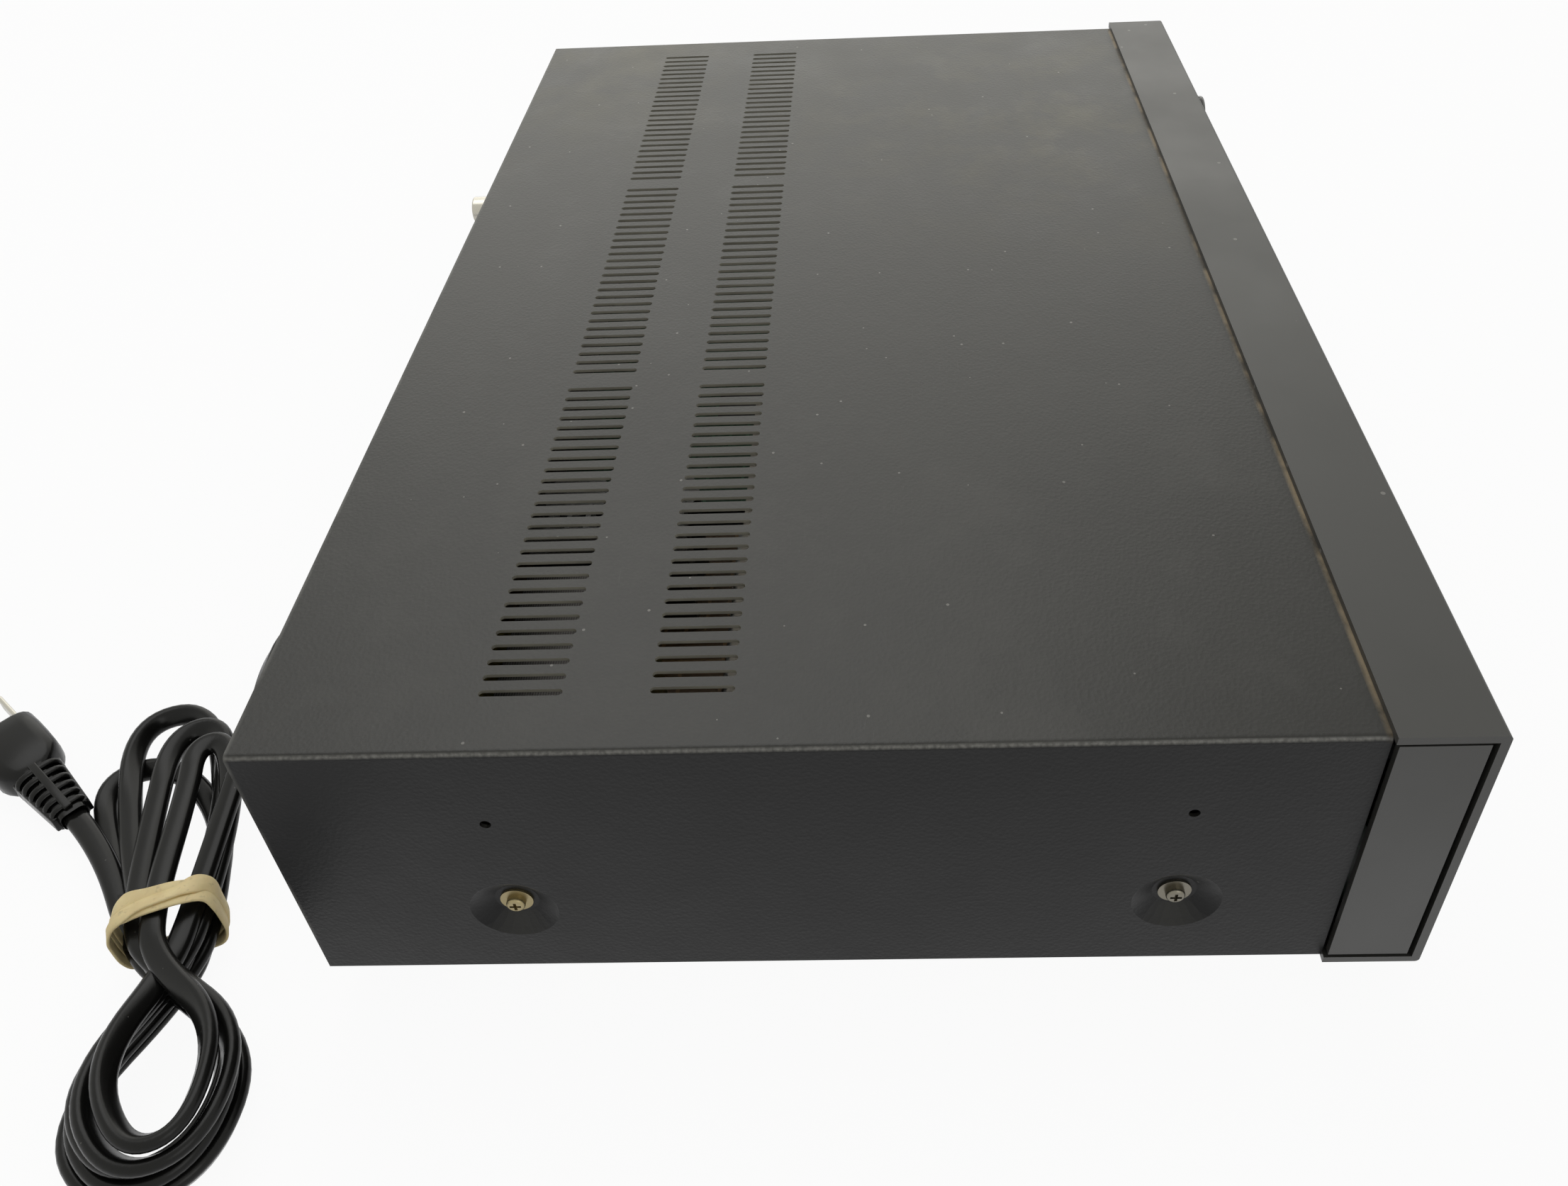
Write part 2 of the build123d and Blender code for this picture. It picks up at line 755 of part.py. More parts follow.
def drive_frame():
    floor_top = drive_floor + drive_floor_thick
    half = drive_width / 2
    frame = block(drive_x - half, drive_x + half, drive_front, drive_rear, drive_floor, drive_top)
    frame -= block(drive_x - drive_inner, drive_x + drive_inner, drive_front + drive_wall,
                   drive_rear - drive_wall, floor_top, drive_top + 1)
    frame -= block(drive_x - drive_inner, drive_x + drive_inner, drive_front - 1,
                   drive_front + drive_wall + 1, tray_bottom - ledge_height - 2, drive_top + 1)
    rail_edge = tray_half + 0.6
    for side in (-1, 1):
        near = drive_x + side * rail_edge
        wall = drive_x + side * drive_inner
        under = tray_bottom - slide_gap
        over = tray_bottom + rail_height + slide_gap + 0.1
        frame += block(min(near, wall), max(near, wall), drive_front, drive_rear - drive_wall,
                       under - ledge_height, under)
        frame += block(min(near, wall), max(near, wall), drive_front, drive_rear - drive_wall, over, over + 3)
        shoulder = drive_x + side * (traverse_half_width + 3)
        pillar = block(min(shoulder, shoulder + side * pivot_post), max(shoulder, shoulder + side * pivot_post),
                       pivot_y - 5, pivot_y + 5, floor_top, pivot_z + 5)
        frame += pillar - cross_rod(pivot_radius + running_gap, shoulder - 8, shoulder + 8, pivot_y, pivot_z)
        for y in (drive_front + 12, drive_rear - 12):
            frame += post(drive_post_radius, chassis_floor_top, drive_floor, drive_x + side * (half - 8), y)
    frame += post(pin_radius, floor_top, gear_top - 0.4, gear_x, gear_y)
    frame += post(pin_radius + 2, floor_top, pulley_bottom - slide_gap, gear_x, gear_y)
    return frame


def drive_lid():
    half = drive_width / 2
    lid = block(drive_x - half, drive_x + half, drive_front, drive_rear, drive_top, drive_top + lid_sheet)
    return lid - post(clamp_hole_radius, drive_top - 1, drive_top + lid_sheet + 1, drive_x, disc_y)


def disc_clamp():
    flange_bottom = drive_top + lid_sheet + slide_gap
    puck = post(clamp_radius, clamp_bottom, flange_bottom, drive_x, disc_y)
    hub_top = turntable_top + hub_cone_height
    puck -= post(clamp_pocket_radius, clamp_bottom - 1, hub_top + 0.4, drive_x, disc_y)
    return puck + post(clamp_flange_radius, flange_bottom, flange_bottom + clamp_flange, drive_x, disc_y)


def disc_tray():
    front = bezel_front + tray_front_thick
    rear = seam + tray_rear_from_seam
    top = tray_bottom + tray_height
    floor_top = tray_bottom + tray_floor
    tray = block(drive_x - tray_half, drive_x + tray_half, front, rear, tray_bottom, top)
    tray -= post(disc_radius + disc_gap, floor_top, top + 1, drive_x, disc_y)
    tray -= post(small_disc_radius + disc_gap, floor_top - small_disc_step, top + 1, drive_x, disc_y)
    tray -= post(tray_slot_radius, tray_bottom - 1, top + 1, drive_x, disc_y)
    tray -= block(drive_x - tray_slot_radius, drive_x + tray_slot_radius, disc_y, rear + 1,
                  tray_bottom - 1, top + 1)
    for side in (-1, 1):
        edge = drive_x + side * tray_half
        reach = drive_x + side * (tray_half + rail_reach)
        tray += block(min(edge, reach), max(edge, reach), drive_front + 2, rear, tray_bottom,
                      tray_bottom + rail_height)
    return tray + rack()


# Rack of straight-sided teeth that face the gear
def rack():
    pitch = pi * gear_module
    root_x = drive_x + rack_x + 1.25 * gear_module
    tip_x = drive_x + rack_x - gear_module
    front = seam + rack_front_from_seam
    rear = seam + tray_rear_from_seam
    strip = block(root_x, drive_x + rack_x + rack_back, front, rear, tray_bottom - rack_height, tray_bottom)
    half_root = gear_tooth_share * pitch / 2 + 0.42 * gear_module
    half_tip = gear_tooth_share * pitch / 2 - 0.34 * gear_module
    first = int((front - gear_y) / pitch) + 1
    last = int((rear - gear_y) / pitch) - 1
    teeth = Sketch()
    for number in range(first, last + 1):
        y = gear_y + (number + 0.5) * pitch
        if y - half_root > front and y + half_root < rear:
            teeth += make_face(Polyline((root_x + 0.2, y - half_root), (tip_x, y - half_tip),
                                        (tip_x, y + half_tip), (root_x + 0.2, y + half_root), close=True))
    return strip + extrude(Pos(0, 0, tray_bottom - rack_height) * teeth, rack_height)


def tray_gear():
    pitch_radius = gear_teeth * gear_module / 2
    root = pitch_radius - 1.25 * gear_module
    tip = pitch_radius + 0.9 * gear_module
    half_root = gear_tooth_share * pi * gear_module / 2 + 0.22 * gear_module
    half_tip = gear_tooth_share * pi * gear_module / 2 - 0.34 * gear_module
    wheel = Circle(root)
    for number in range(gear_teeth):
        tooth = make_face(Polyline((root - 0.4, -half_root), (tip, -half_tip), (tip, half_tip),
                                   (root - 0.4, half_root), close=True))
        wheel += Rot(0, 0, number * 360 / gear_teeth) * tooth
    gear = extrude(Pos(gear_x, gear_y, gear_bottom) * wheel, gear_thick)
    gear += pulley(gear_x, gear_y, pulley_radius, pulley_rim)
    return gear - post(pin_radius + running_gap, pulley_bottom - 1, gear_top + 1, gear_x, gear_y)


def pulley(x, y, radius, rim):
    wheel = post(radius, pulley_bottom, pulley_top, x, y)
    wheel += post(radius + rim, pulley_bottom, pulley_bottom + pulley_flange, x, y)
    return wheel + post(radius + rim, pulley_top - pulley_flange, pulley_top, x, y)


def motor_pulley():
    wheel = pulley(drive_x + motor_x, gear_y, motor_pulley_radius, motor_pulley_rim)
    return wheel - post(motor_shaft_radius + running_gap, pulley_bottom - 1, pulley_top + 1,
                        drive_x + motor_x, gear_y)


def tray_motor():
    x = drive_x + motor_x
    can = post(tray_motor_radius, drive_floor + drive_floor_thick, pulley_bottom - 1.2, x, gear_y)
    return can + post(motor_shaft_radius, pulley_bottom - 1.2, pulley_top - 0.2, x, gear_y)


def belt_outline(grow):
    small = motor_pulley_radius + slide_gap + grow
    large = pulley_radius + slide_gap + grow
    span = gear_x - (drive_x + motor_x)
    lean = atan2(large - small, (span ** 2 - (large - small) ** 2) ** 0.5)
    near = drive_x + motor_x
    up_near = (near - small * sin(lean), gear_y + small * cos(lean))
    up_far = (gear_x - large * sin(lean), gear_y + large * cos(lean))
    low_near = (up_near[0], 2 * gear_y - up_near[1])
    low_far = (up_far[0], 2 * gear_y - up_far[1])
    return make_face([Line(up_near, up_far), ThreePointArc(up_far, (gear_x + large, gear_y), low_far),
                      Line(low_far, low_near), ThreePointArc(low_near, (near - small, gear_y), up_near)])


def tray_belt():
    middle = (pulley_bottom + pulley_top) / 2
    ring = belt_outline(belt_size) - belt_outline(0)
    return extrude(Pos(0, 0, middle - belt_size / 2) * ring, belt_size)


def tray_front():
    half = tray_front_width / 2
    tall = tray_front_height / 2
    plate = block(drive_x - half, drive_x + half, bezel_front, bezel_front + tray_front_thick,
                  tray_front_z - tall, tray_front_z + tall)
    return fillet(plate.edges().group_by(Axis.Y)[0], 0.6)


# Traverse: hinged at the rear, with the spindle in front and the sled behind it
traverse_top = traverse_bottom + traverse_plate
rod_front = seam + rod_front_from_seam
rod_rear = seam + rod_rear_from_seam
sled_front = seam + sled_front_from_seam


def traverse_frame():
    plate = block(drive_x - traverse_half_width, drive_x + traverse_half_width, seam + traverse_front_from_seam,
                  seam + traverse_rear_from_seam, traverse_bottom, traverse_top)
    plate -= block(drive_x - window_half_width, drive_x + window_half_width, seam + window_front_from_seam,
                   seam + window_rear_from_seam, traverse_bottom - 1, traverse_top + 1)
    motor_room = sled_motor_radius + fit_gap
    plate -= block(drive_x + screw_x - motor_room, drive_x + screw_x + motor_room,
                   rod_front - sled_motor_length - fit_gap, rod_front, traverse_bottom - 1, traverse_top + 1)
    for start in (rod_front, rod_rear - rod_block):
        left = block(drive_x - rod_spread - 3, drive_x - rod_spread + 3, start, start + rod_block,
                     traverse_top, rod_height + 3)
        right = block(drive_x + rod_spread - 3, drive_x + screw_x + 3, start, start + rod_block,
                      traverse_top, screw_height + 2.5)
        plate += left + right
    for x in (drive_x - rod_spread, drive_x + rod_spread):
        plate -= rod(rod_radius + running_gap, rod_front + 1, rod_rear - 1, x, rod_height)
    plate -= rod(lead_screw_radius + running_gap, rod_front - 1, rod_rear - 1, drive_x + screw_x, screw_height)
    for side in (-1, 1):
        start = drive_x + side * traverse_half_width
        end = start + side * pivot_length
        plate += cross_rod(pivot_radius, min(start, end), max(start, end), pivot_y, pivot_z)
    return plate


def spindle_motor():
    can = post(spindle_motor_radius, traverse_top, traverse_top + spindle_motor_height, drive_x, disc_y)
    return can + post(spindle_radius, traverse_top + spindle_motor_height, turntable_top - 2, drive_x, disc_y)


def turntable():
    table = post(turntable_radius, turntable_bottom, turntable_top, drive_x, disc_y)
    cone = Cone(hub_cone_radius, hub_cone_radius - 2.4, hub_cone_height)
    table += Pos(drive_x, disc_y, turntable_top + hub_cone_height / 2) * cone
    bore = post(spindle_radius + running_gap, turntable_bottom - 1, turntable_top - 2 + fit_gap, drive_x, disc_y)
    return table - bore


def guide_rods():
    rods = Part()
    for x in (drive_x - rod_spread, drive_x + rod_spread):
        rods += rod(rod_radius, rod_front + 1, rod_rear - 1, x, rod_height)
    return rods


def lead_screw():
    return rod(lead_screw_radius, rod_front + 0.2, rod_rear - 1.2, drive_x + screw_x, screw_height)


def sled_motor():
    return rod(sled_motor_radius, rod_front - sled_motor_length, rod_front, drive_x + screw_x, screw_height)


def laser_sled():
    back = sled_front + sled_length
    sled = block(drive_x - sled_left, drive_x + sled_right, sled_front, back, sled_bottom, sled_top)
    lens_y = sled_front + lens_house_half + 1
    sled += block(drive_x - lens_house_half, drive_x + lens_house_half, lens_y - lens_house_half,
                  lens_y + lens_house_half, sled_top, lens_house_top)
    sled -= post(lens_radius + lens_well_gap, sled_top, lens_house_top + 1, drive_x, lens_y)
    for x in (drive_x - rod_spread, drive_x + rod_spread):
        sled -= rod(rod_radius + 0.1, sled_front - 1, back + 1, x, rod_height)
    return sled - rod(lead_screw_radius + fit_gap, sled_front - 1, back + 1, drive_x + screw_x, screw_height)


def pickup_lens():
    lens_y = sled_front + lens_house_half + 1
    barrel = post(lens_radius, sled_top + lens_well_gap + 0.1, lens_top, drive_x, lens_y)
    return barrel + Pos(drive_x, lens_y, lens_top - 1) * Sphere(lens_dome_radius)


# Electronics on the chassis

def main_board():
    x0, x1, y0, y1 = main_board_box
    board = block(x0, x1, y0, y1, board_bottom, board_top)
    chips = [(30, 60, 24, 2.5), (80, 70, 20, 2.2), (130, 120, 28, 2.8), (60, 150, 18, 2.2), (170, 60, 16, 2.0)]
    for dx, dy, size, height in chips:
        board += block(x0 + dx - size / 2, x0 + dx + size / 2, y0 + dy - size / 2, y0 + dy + size / 2,
                       board_top, board_top + height)
    for number in range(8):
        board += post(4, board_top, board_top + 12, x0 + 30 + number * 24, y1 - 30)
    return board


def power_board():
    x0, x1, y0, y1 = power_board_box
    board = block(x0, x1, y0, y1, board_bottom, board_top)
    for number in range(2):
        board += post(11, board_top, board_top + 34, x1 - 20, y0 + 20 + number * 30)
    sink_x = x1 - 50
    board += block(sink_x, sink_x + 4, y0 + 10, y1 - 22, board_top, board_top + 42)
    for number in range(8):
        y = y0 + 11 + number * 6
        board += block(sink_x + 4, sink_x + 16, y, y + 1.5, board_top + 6, board_top + 42)
    return board


def transformer():
    x0, x1, y0, y1 = power_board_box
    mid_x = x0 + 42
    mid_y = y0 + 38
    core = block(mid_x - 32, mid_x + 32, mid_y - 14, mid_y + 14, board_top, board_top + 52)
    coil = block(mid_x - 20, mid_x + 20, mid_y - 25, mid_y + 25, board_top + 9, board_top + 43)
    return core + fillet(coil.edges().filter_by(Axis.Z), 6)


def ribbon_cable():
    start = drive_right
    end = main_board_box[0] + 8
    y0 = seam + 96
    over = block(start, end, y0, y0 + 26, drive_floor + 6, drive_floor + 7)
    return over + block(end - 1, end, y0, y0 + 26, board_top, drive_floor + 7)


# Cord: the hank is one tube, wound round a drawn-in waist, each turn on its own layer
hank_base = band_wall + 0.4 + cord_radius
turns = len(lower_reach)


def hank_point(s, t, z):
    angle = radians(hank_angle)
    return Vector(hank_x + s * cos(angle) - t * sin(angle), hank_y + s * sin(angle) + t * cos(angle), z)


def hank_route():
    route = []
    plug_turn = radians(plug_angle - hank_angle)
    route.append(hank_point(plug_s, plug_t, plug_centre_height))
    route.append(hank_point(plug_s - plug_lead * cos(plug_turn), plug_t - plug_lead * sin(plug_turn),
                            plug_centre_height))
    for turn in range(turns):
        z = hank_base + turn * layer_step
        left = waist_half + lead_gap if turn == 0 else waist_half
        reach = lower_reach[turn]
        half = lower_half[turn]
        shift = lower_shift[turn]
        route.append(hank_point(0, left, z))
        route.append(hank_point(-0.55 * reach, shift + half, z))
        route.append(hank_point(-reach, shift + half / 2, z))
        route.append(hank_point(-reach, shift - half / 2, z))
        route.append(hank_point(-0.55 * reach, shift - half, z))
        route.append(hank_point(0, -waist_half, z))
        if turn < turns - 1:
            top = upper_reach[turn]
            middle = upper_shift[turn]
            route.append(hank_point(0.55 * top, upper_right_edge, z))
            route.append(hank_point(top, middle - upper_tip_half, z))
            route.append(hank_point(top, middle + upper_tip_half, z))
            route.append(hank_point(upper_shoulder[0], upper_shoulder[1], z))
    top_z = hank_base + (turns - 1) * layer_step
    route.append(hank_point(unit_exit[0], unit_exit[1], top_z + unit_exit_rise))
    return route


def corner_radii(route, share):
    radii = []
    for before, here, after in zip(route, route[1:], route[2:]):
        turn = radians((here - before).get_angle(after - here))
        shorter = min((here - before).length, (after - here).length)
        radii.append(share * shorter / tan(turn / 2))
    return radii


def tube(route, radii, radius):
    path = FilletPolyline(*route, radius=radii)
    start = Plane(origin=path @ 0, z_dir=path % 0)
    solid = sweep(start * Circle(radius), path=path)
    ideal = path.length * pi * radius ** 2
    return path, solid, ideal


def least_self_gap(path, radius):
    count = int(path.length / 1.5)
    points = [path @ (number / count) for number in range(count + 1)]
    reach = int(8 * radius / 1.5)
    least = 1000.0
    for first in range(0, count + 1):
        for second in range(first + reach, count + 1):
            span = (points[first] - points[second]).length
            least = min(least, span)
    return least - 2 * radius


def power_cord_route():
    end = hank_route()[-1]
    before = hank_route()[-2]
    outward = (end - before).normalized()
    exit_y = panel_back + gland_reach
    return [Vector(gland_x, exit_y, gland_z), Vector(gland_x, exit_y + 10.3, gland_z),
            Vector(gland_x - 4.2, exit_y + 19.9, gland_z - 2.5),
            Vector(gland_x - 11.9, exit_y + 27.1, gland_z - 6),
            Vector(gland_x - 21.8, exit_y + 30.6, gland_z - 9), end + outward * 12, end]


def cord_band():
    low = hank_base - cord_radius - 0.3
    high = hank_base + (turns - 1) * layer_step + cord_radius + 0.4
    right = -waist_half - cord_radius - band_side_gap
    left = waist_half + lead_gap + cord_radius + band_side_gap
    middle = (left + right) / 2
    outer = RectangleRounded(left - right + 2 * band_wall, high - low + 2 * band_wall, 5)
    inner = RectangleRounded(left - right, high - low, 5 - band_wall)
    centre = hank_point(0, middle, (low + high) / 2)
    along = hank_point(1, middle, (low + high) / 2) - centre
    across = hank_point(0, middle + 1, (low + high) / 2) - centre
    plane = Plane(origin=centre, x_dir=across, z_dir=along)
    return extrude(plane * (outer - inner), band_width / 2, both=True)


def power_plug():
    turn = radians(plug_angle)
    start = hank_point(plug_s, plug_t, plug_centre_height)
    axis = Vector(cos(turn), sin(turn), 0)
    plane = Plane(origin=start, x_dir=Vector(-sin(turn), cos(turn), 0), z_dir=axis)
    relief = loft([plane * RectangleRounded(9.0, 7.0, 2.6),
                   plane.offset(plug_relief) * RectangleRounded(13.0, 11.0, 3.0)])
    neck = loft([plane.offset(plug_relief) * RectangleRounded(13.0, 11.0, 3.0),
                 plane.offset(plug_relief + 8) * RectangleRounded(plug_head_width, plug_head_height,
                                                                  plug_head_round)])
    head = extrude(plane.offset(plug_relief + 8) * RectangleRounded(plug_head_width, plug_head_height,
                                                                    plug_head_round), plug_head_length - 8)
    plug = relief + neck + head
    face = plane.offset(plug_relief + plug_head_length)
    for side in (-1, 1):
        blade = face * Pos(side * blade_pitch / 2, 0) * Rectangle(blade_thick, blade_width)
        plug += extrude(blade, blade_length)
    return plug


# Build every piece, print the cord's measures and write the files

def build_all():
    pieces = {}
    for make in (top_cover, base_chassis, foot_screws, cover_screws, rear_panel, rear_screws, line_jack_block,
                 line_jack_shells, coax_jack, coax_cap, optical_jacks, cord_gland, front_bezel, display_window,
                 front_board, control_pots, jog_dial, phones_jack, drive_frame, drive_lid, disc_clamp, disc_tray,
                 tray_gear, motor_pulley, tray_motor, tray_belt, tray_front, traverse_frame, spindle_motor,
                 turntable, guide_rods, lead_screw, sled_motor, laser_sled, pickup_lens, main_board, power_board,
                 transformer, ribbon_cable, cord_band, power_plug):
        pieces[make.__name__] = make()
    for name, (x, y) in foot_places().items():
        pieces["foot_" + name] = foot(x, y)
    pieces["left_end_cap"] = end_cap(-1)
    pieces["right_end_cap"] = end_cap(1)
    for name, place in transport_places().items():
        pieces[name] = button(*place)
    pieces["level_knob"] = fluted_knob(level_knob_x, level_knob_z, level_knob_radius, knob_reach)
    pieces["phones_knob"] = fluted_knob(phones_knob_x, low_row_z, phones_knob_radius, phones_knob_reach)
    for name, route in (("power_cord", power_cord_route()), ("cord_hank", hank_route())):
        radii = corner_radii(route, 0.45)
        path, solid, ideal = tube(route, radii, cord_radius)
        pieces[name] = solid
        print(name, "radii", [round(value, 1) for value in radii])
        print(name, "length", round(path.length, 1), "volume", round(solid.volume), "ideal", round(ideal))
        print(name, "least gap to itself", round(least_self_gap(path, cord_radius), 2))
    return pieces


os.makedirs("parts", exist_ok=True)
for name, piece in build_all().items():
    export_step(piece, "parts/" + name + ".step")
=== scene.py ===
import bpy, bmesh
from math import atan, cos, pi, radians, sin
from mathutils import Matrix, Vector, noise


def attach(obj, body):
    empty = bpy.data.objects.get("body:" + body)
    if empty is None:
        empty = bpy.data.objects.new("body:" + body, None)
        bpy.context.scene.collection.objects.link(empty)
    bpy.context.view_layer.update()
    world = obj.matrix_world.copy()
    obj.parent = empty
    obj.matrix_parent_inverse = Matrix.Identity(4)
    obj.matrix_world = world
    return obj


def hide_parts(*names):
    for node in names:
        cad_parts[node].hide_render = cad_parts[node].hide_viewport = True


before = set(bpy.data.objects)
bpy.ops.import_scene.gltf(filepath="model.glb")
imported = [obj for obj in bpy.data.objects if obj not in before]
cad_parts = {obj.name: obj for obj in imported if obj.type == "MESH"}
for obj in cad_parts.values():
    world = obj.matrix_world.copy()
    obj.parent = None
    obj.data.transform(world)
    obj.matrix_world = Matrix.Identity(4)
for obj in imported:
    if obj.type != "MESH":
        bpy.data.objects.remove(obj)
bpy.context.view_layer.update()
scene = bpy.context.scene

# Studio: a white floor and a plain white surround. The floor shows white to the camera and to
# glossy surfaces, but lights the object only as a plain pale floor would.
def new_material(name):
    material = bpy.data.materials.new(name)
    material.use_nodes = True
    tree = material.node_tree
    return material, tree, tree.nodes["Principled BSDF"]


def add(tree, kind, inputs=(), **settings):
    made = tree.nodes.new(kind)
    for name, value in settings.items():
        setattr(made, name, value)
    for name, value in dict(inputs).items():
        socket = made.inputs[name]
        if isinstance(value, bpy.types.NodeSocket):
            tree.links.new(value, socket)
        else:
            socket.default_value = value
    return made


def seen_directly(tree):
    path = add(tree, "ShaderNodeLightPath")
    first = add(tree, "ShaderNodeMath", {0: path.outputs["Is Camera Ray"], 1: path.outputs["Is Glossy Ray"]},
                operation="MAXIMUM")
    return add(tree, "ShaderNodeMath", {0: first.outputs[0], 1: path.outputs["Is Transmission Ray"]},
               operation="MAXIMUM").outputs[0]


floor_mesh = bpy.data.meshes.new("floor")
floor_shape = bmesh.new()
bmesh.ops.create_grid(floor_shape, x_segments=1, y_segments=1, size=6.0)
floor_shape.to_mesh(floor_mesh)
floor_shape.free()
floor = bpy.data.objects.new("floor", floor_mesh)
floor.location.z = -0.0005
scene.collection.objects.link(floor)
floor_white, tree, shader = new_material("floor_white")
shader.inputs["Base Color"].default_value = (0.8, 0.8, 0.8, 1)
shader.inputs["Roughness"].default_value = 0.9
shader.inputs["Specular IOR Level"].default_value = 0.1
glow = add(tree, "ShaderNodeEmission", {"Color": (1, 1, 1, 1), "Strength": 1.0})
share = add(tree, "ShaderNodeMath", {0: seen_directly(tree), 1: 0.94}, operation="MULTIPLY")
blend = add(tree, "ShaderNodeMixShader", {0: share.outputs[0], 1: shader.outputs[0], 2: glow.outputs[0]})
tree.links.new(blend.outputs[0], tree.nodes["Material Output"].inputs["Surface"])
floor_mesh.materials.append(floor_white)

world = bpy.data.worlds.new("surround")
scene.world = world
world.use_nodes = True
tree = world.node_tree
strength = add(tree, "ShaderNodeMapRange", {"Value": seen_directly(tree), "To Min": 0.36, "To Max": 1.0})
back = tree.nodes["Background"]
back.inputs["Color"].default_value = (1, 1, 0.95, 1)
tree.links.new(strength.outputs[0], back.inputs["Strength"])


def lamp(name, place, aim, size, power):
    data = bpy.data.lights.new(name, "AREA")
    data.shape = "DISK"
    data.size = size
    data.energy = power
    made = bpy.data.objects.new(name, data)
    made.location = place
    made.rotation_euler = (Vector(aim) - Vector(place)).to_track_quat("-Z", "Y").to_euler()
    scene.collection.objects.link(made)
    return data


lamp("lamp_over", (0.5, 0.3, 1.7), (0.0, 0.0, 0.05), 1.5, 10)
lamp("lamp_window", (2.6, 0.2, 1.2), (0.0, 0.0, 0.05), 3.0, 21).color = (1, 0.98, 0.92)
lamp("lamp_side", (-1.3, -0.9, 1.1), (-0.1, 0.0, 0.05), 1.0, 3)

# Camera: a phone held near the left side, looking across the top. Its place and lens come from
# the photograph's perspective.
picture_width = 2212
picture_height = 1673
focal_pixels = 1857.8
centre_pixels = (1185.9, 646.4)
right = Vector((0.011101, -0.999082, -0.041365))
down = Vector((-0.624135, 0.025397, -0.780903))
ahead = Vector((0.781237, 0.034486, -0.623281))
camera_data = bpy.data.cameras.new("camera")
camera_data.sensor_width = 36
camera_data.lens = focal_pixels / picture_width * 36
camera_data.shift_x = (picture_width / 2 - centre_pixels[0]) / picture_width
camera_data.shift_y = (centre_pixels[1] - picture_height / 2) / picture_width
camera_data.clip_start = 0.01
camera = bpy.data.objects.new("camera", camera_data)
turn = Matrix((right, -down, -ahead)).transposed().to_4x4()
camera.matrix_world = Matrix.Translation((-0.4086, -0.00685, 0.33874)) @ turn
scene.collection.objects.link(camera)
scene.camera = camera

# Power cord: a flat black vinyl cord of two cores, 7 by 4 mm. It drops from the gland to the
# hank, where four and a half turns lie folded over each other, and ends in the plug. The loops
# are in millimetres along and across the hank, and their heights in metres.
cord_wide = 0.0070
cord_thick = 0.0040
hank_middle = Vector((-0.205, 0.1964, 0))
hank_degrees = 21.5
hank_turn = radians(hank_degrees)
hank_floor = 0.0042
layer_rise = 0.0044
waist_rise = 0.0029
cross_gap = 0.0016


def on_hank(s, t, z):
    along = Vector((cos(hank_turn), sin(hank_turn), 0))
    across = Vector((-sin(hank_turn), cos(hank_turn), 0))
    return hank_middle + along * s / 1000 + across * t / 1000 + Vector((0, 0, z))


plug_degrees = 50.7
plug_s = 58.5
plug_t = 31.2
plug_lead = 20
plug_height = 0.0083
plug_slant = radians(plug_degrees - hank_degrees)
route = [on_hank(plug_s, plug_t, plug_height),
         on_hank(plug_s - plug_lead * cos(plug_slant), plug_t - plug_lead * sin(plug_slant), plug_height)]
lower_loops = [(69, 25, 6), (68, 22, 5), (66, 21, 4), (69, 21, 1), (66, 15, 0)]
upper_loops = [(73, 14, 11, 22, -13), (89, 3, 12, 15, -14), (75, -7, 8, 6, -15), (63, -12, 5, -5, -18)]
waist_places = [(12, -6), (9, -9), (7, -4), (10, -8), (4, -6)]
for number, (reach, half, shift) in enumerate(lower_loops):
    z = hank_floor + number * layer_rise
    under = hank_floor + number * waist_rise
    over = under + 2 * cross_gap
    left, right_side = waist_places[number]
    route += [on_hank(2, left, over), on_hank(-13, 2, over), on_hank(-0.6 * reach, shift - half, z),
              on_hank(-reach, shift - half / 2, z), on_hank(-reach, shift + half / 2, z),
              on_hank(-0.6 * reach, shift + half, z), on_hank(-13, -1, under), on_hank(2, right_side, under)]
    if number < len(upper_loops):
        top, middle, tip_half, shoulder, side = upper_loops[number]
        route += [on_hank(0.55 * top, side, z), on_hank(top, middle - tip_half, z),
                  on_hank(top, middle + tip_half, z), on_hank(46, shoulder, z)]
hank_end = on_hank(52, -24, hank_floor + 4 * layer_rise + 0.001)
outward = (hank_end - route[-1]).normalized()
gland_tip = Vector((-0.095, 0.1649, 0.036))
route += [hank_end, hank_end + outward * 0.012,
          gland_tip + Vector((-0.0218, 0.0306, -0.009)), gland_tip + Vector((-0.0119, 0.0271, -0.006)),
          gland_tip + Vector((-0.0042, 0.0199, -0.0025)), gland_tip + Vector((0, 0.0103, 0)), gland_tip]

cord_line = bpy.data.curves.new("cord_line", "CURVE")
cord_line.dimensions = "3D"
spline = cord_line.splines.new("NURBS")
spline.points.add(len(route) - 1)
for point, place in zip(spline.points, route):
    point.co = (*place, 1)
spline.order_u = 3
spline.use_endpoint_u = True
spline.resolution_u = 10
line_object = bpy.data.objects.new("cord_line", cord_line)
scene.collection.objects.link(line_object)
line_mesh = bpy.data.meshes.new_from_object(line_object)
cord_path = [vertex.co.copy() for vertex in line_mesh.vertices]
bpy.data.objects.remove(line_object)


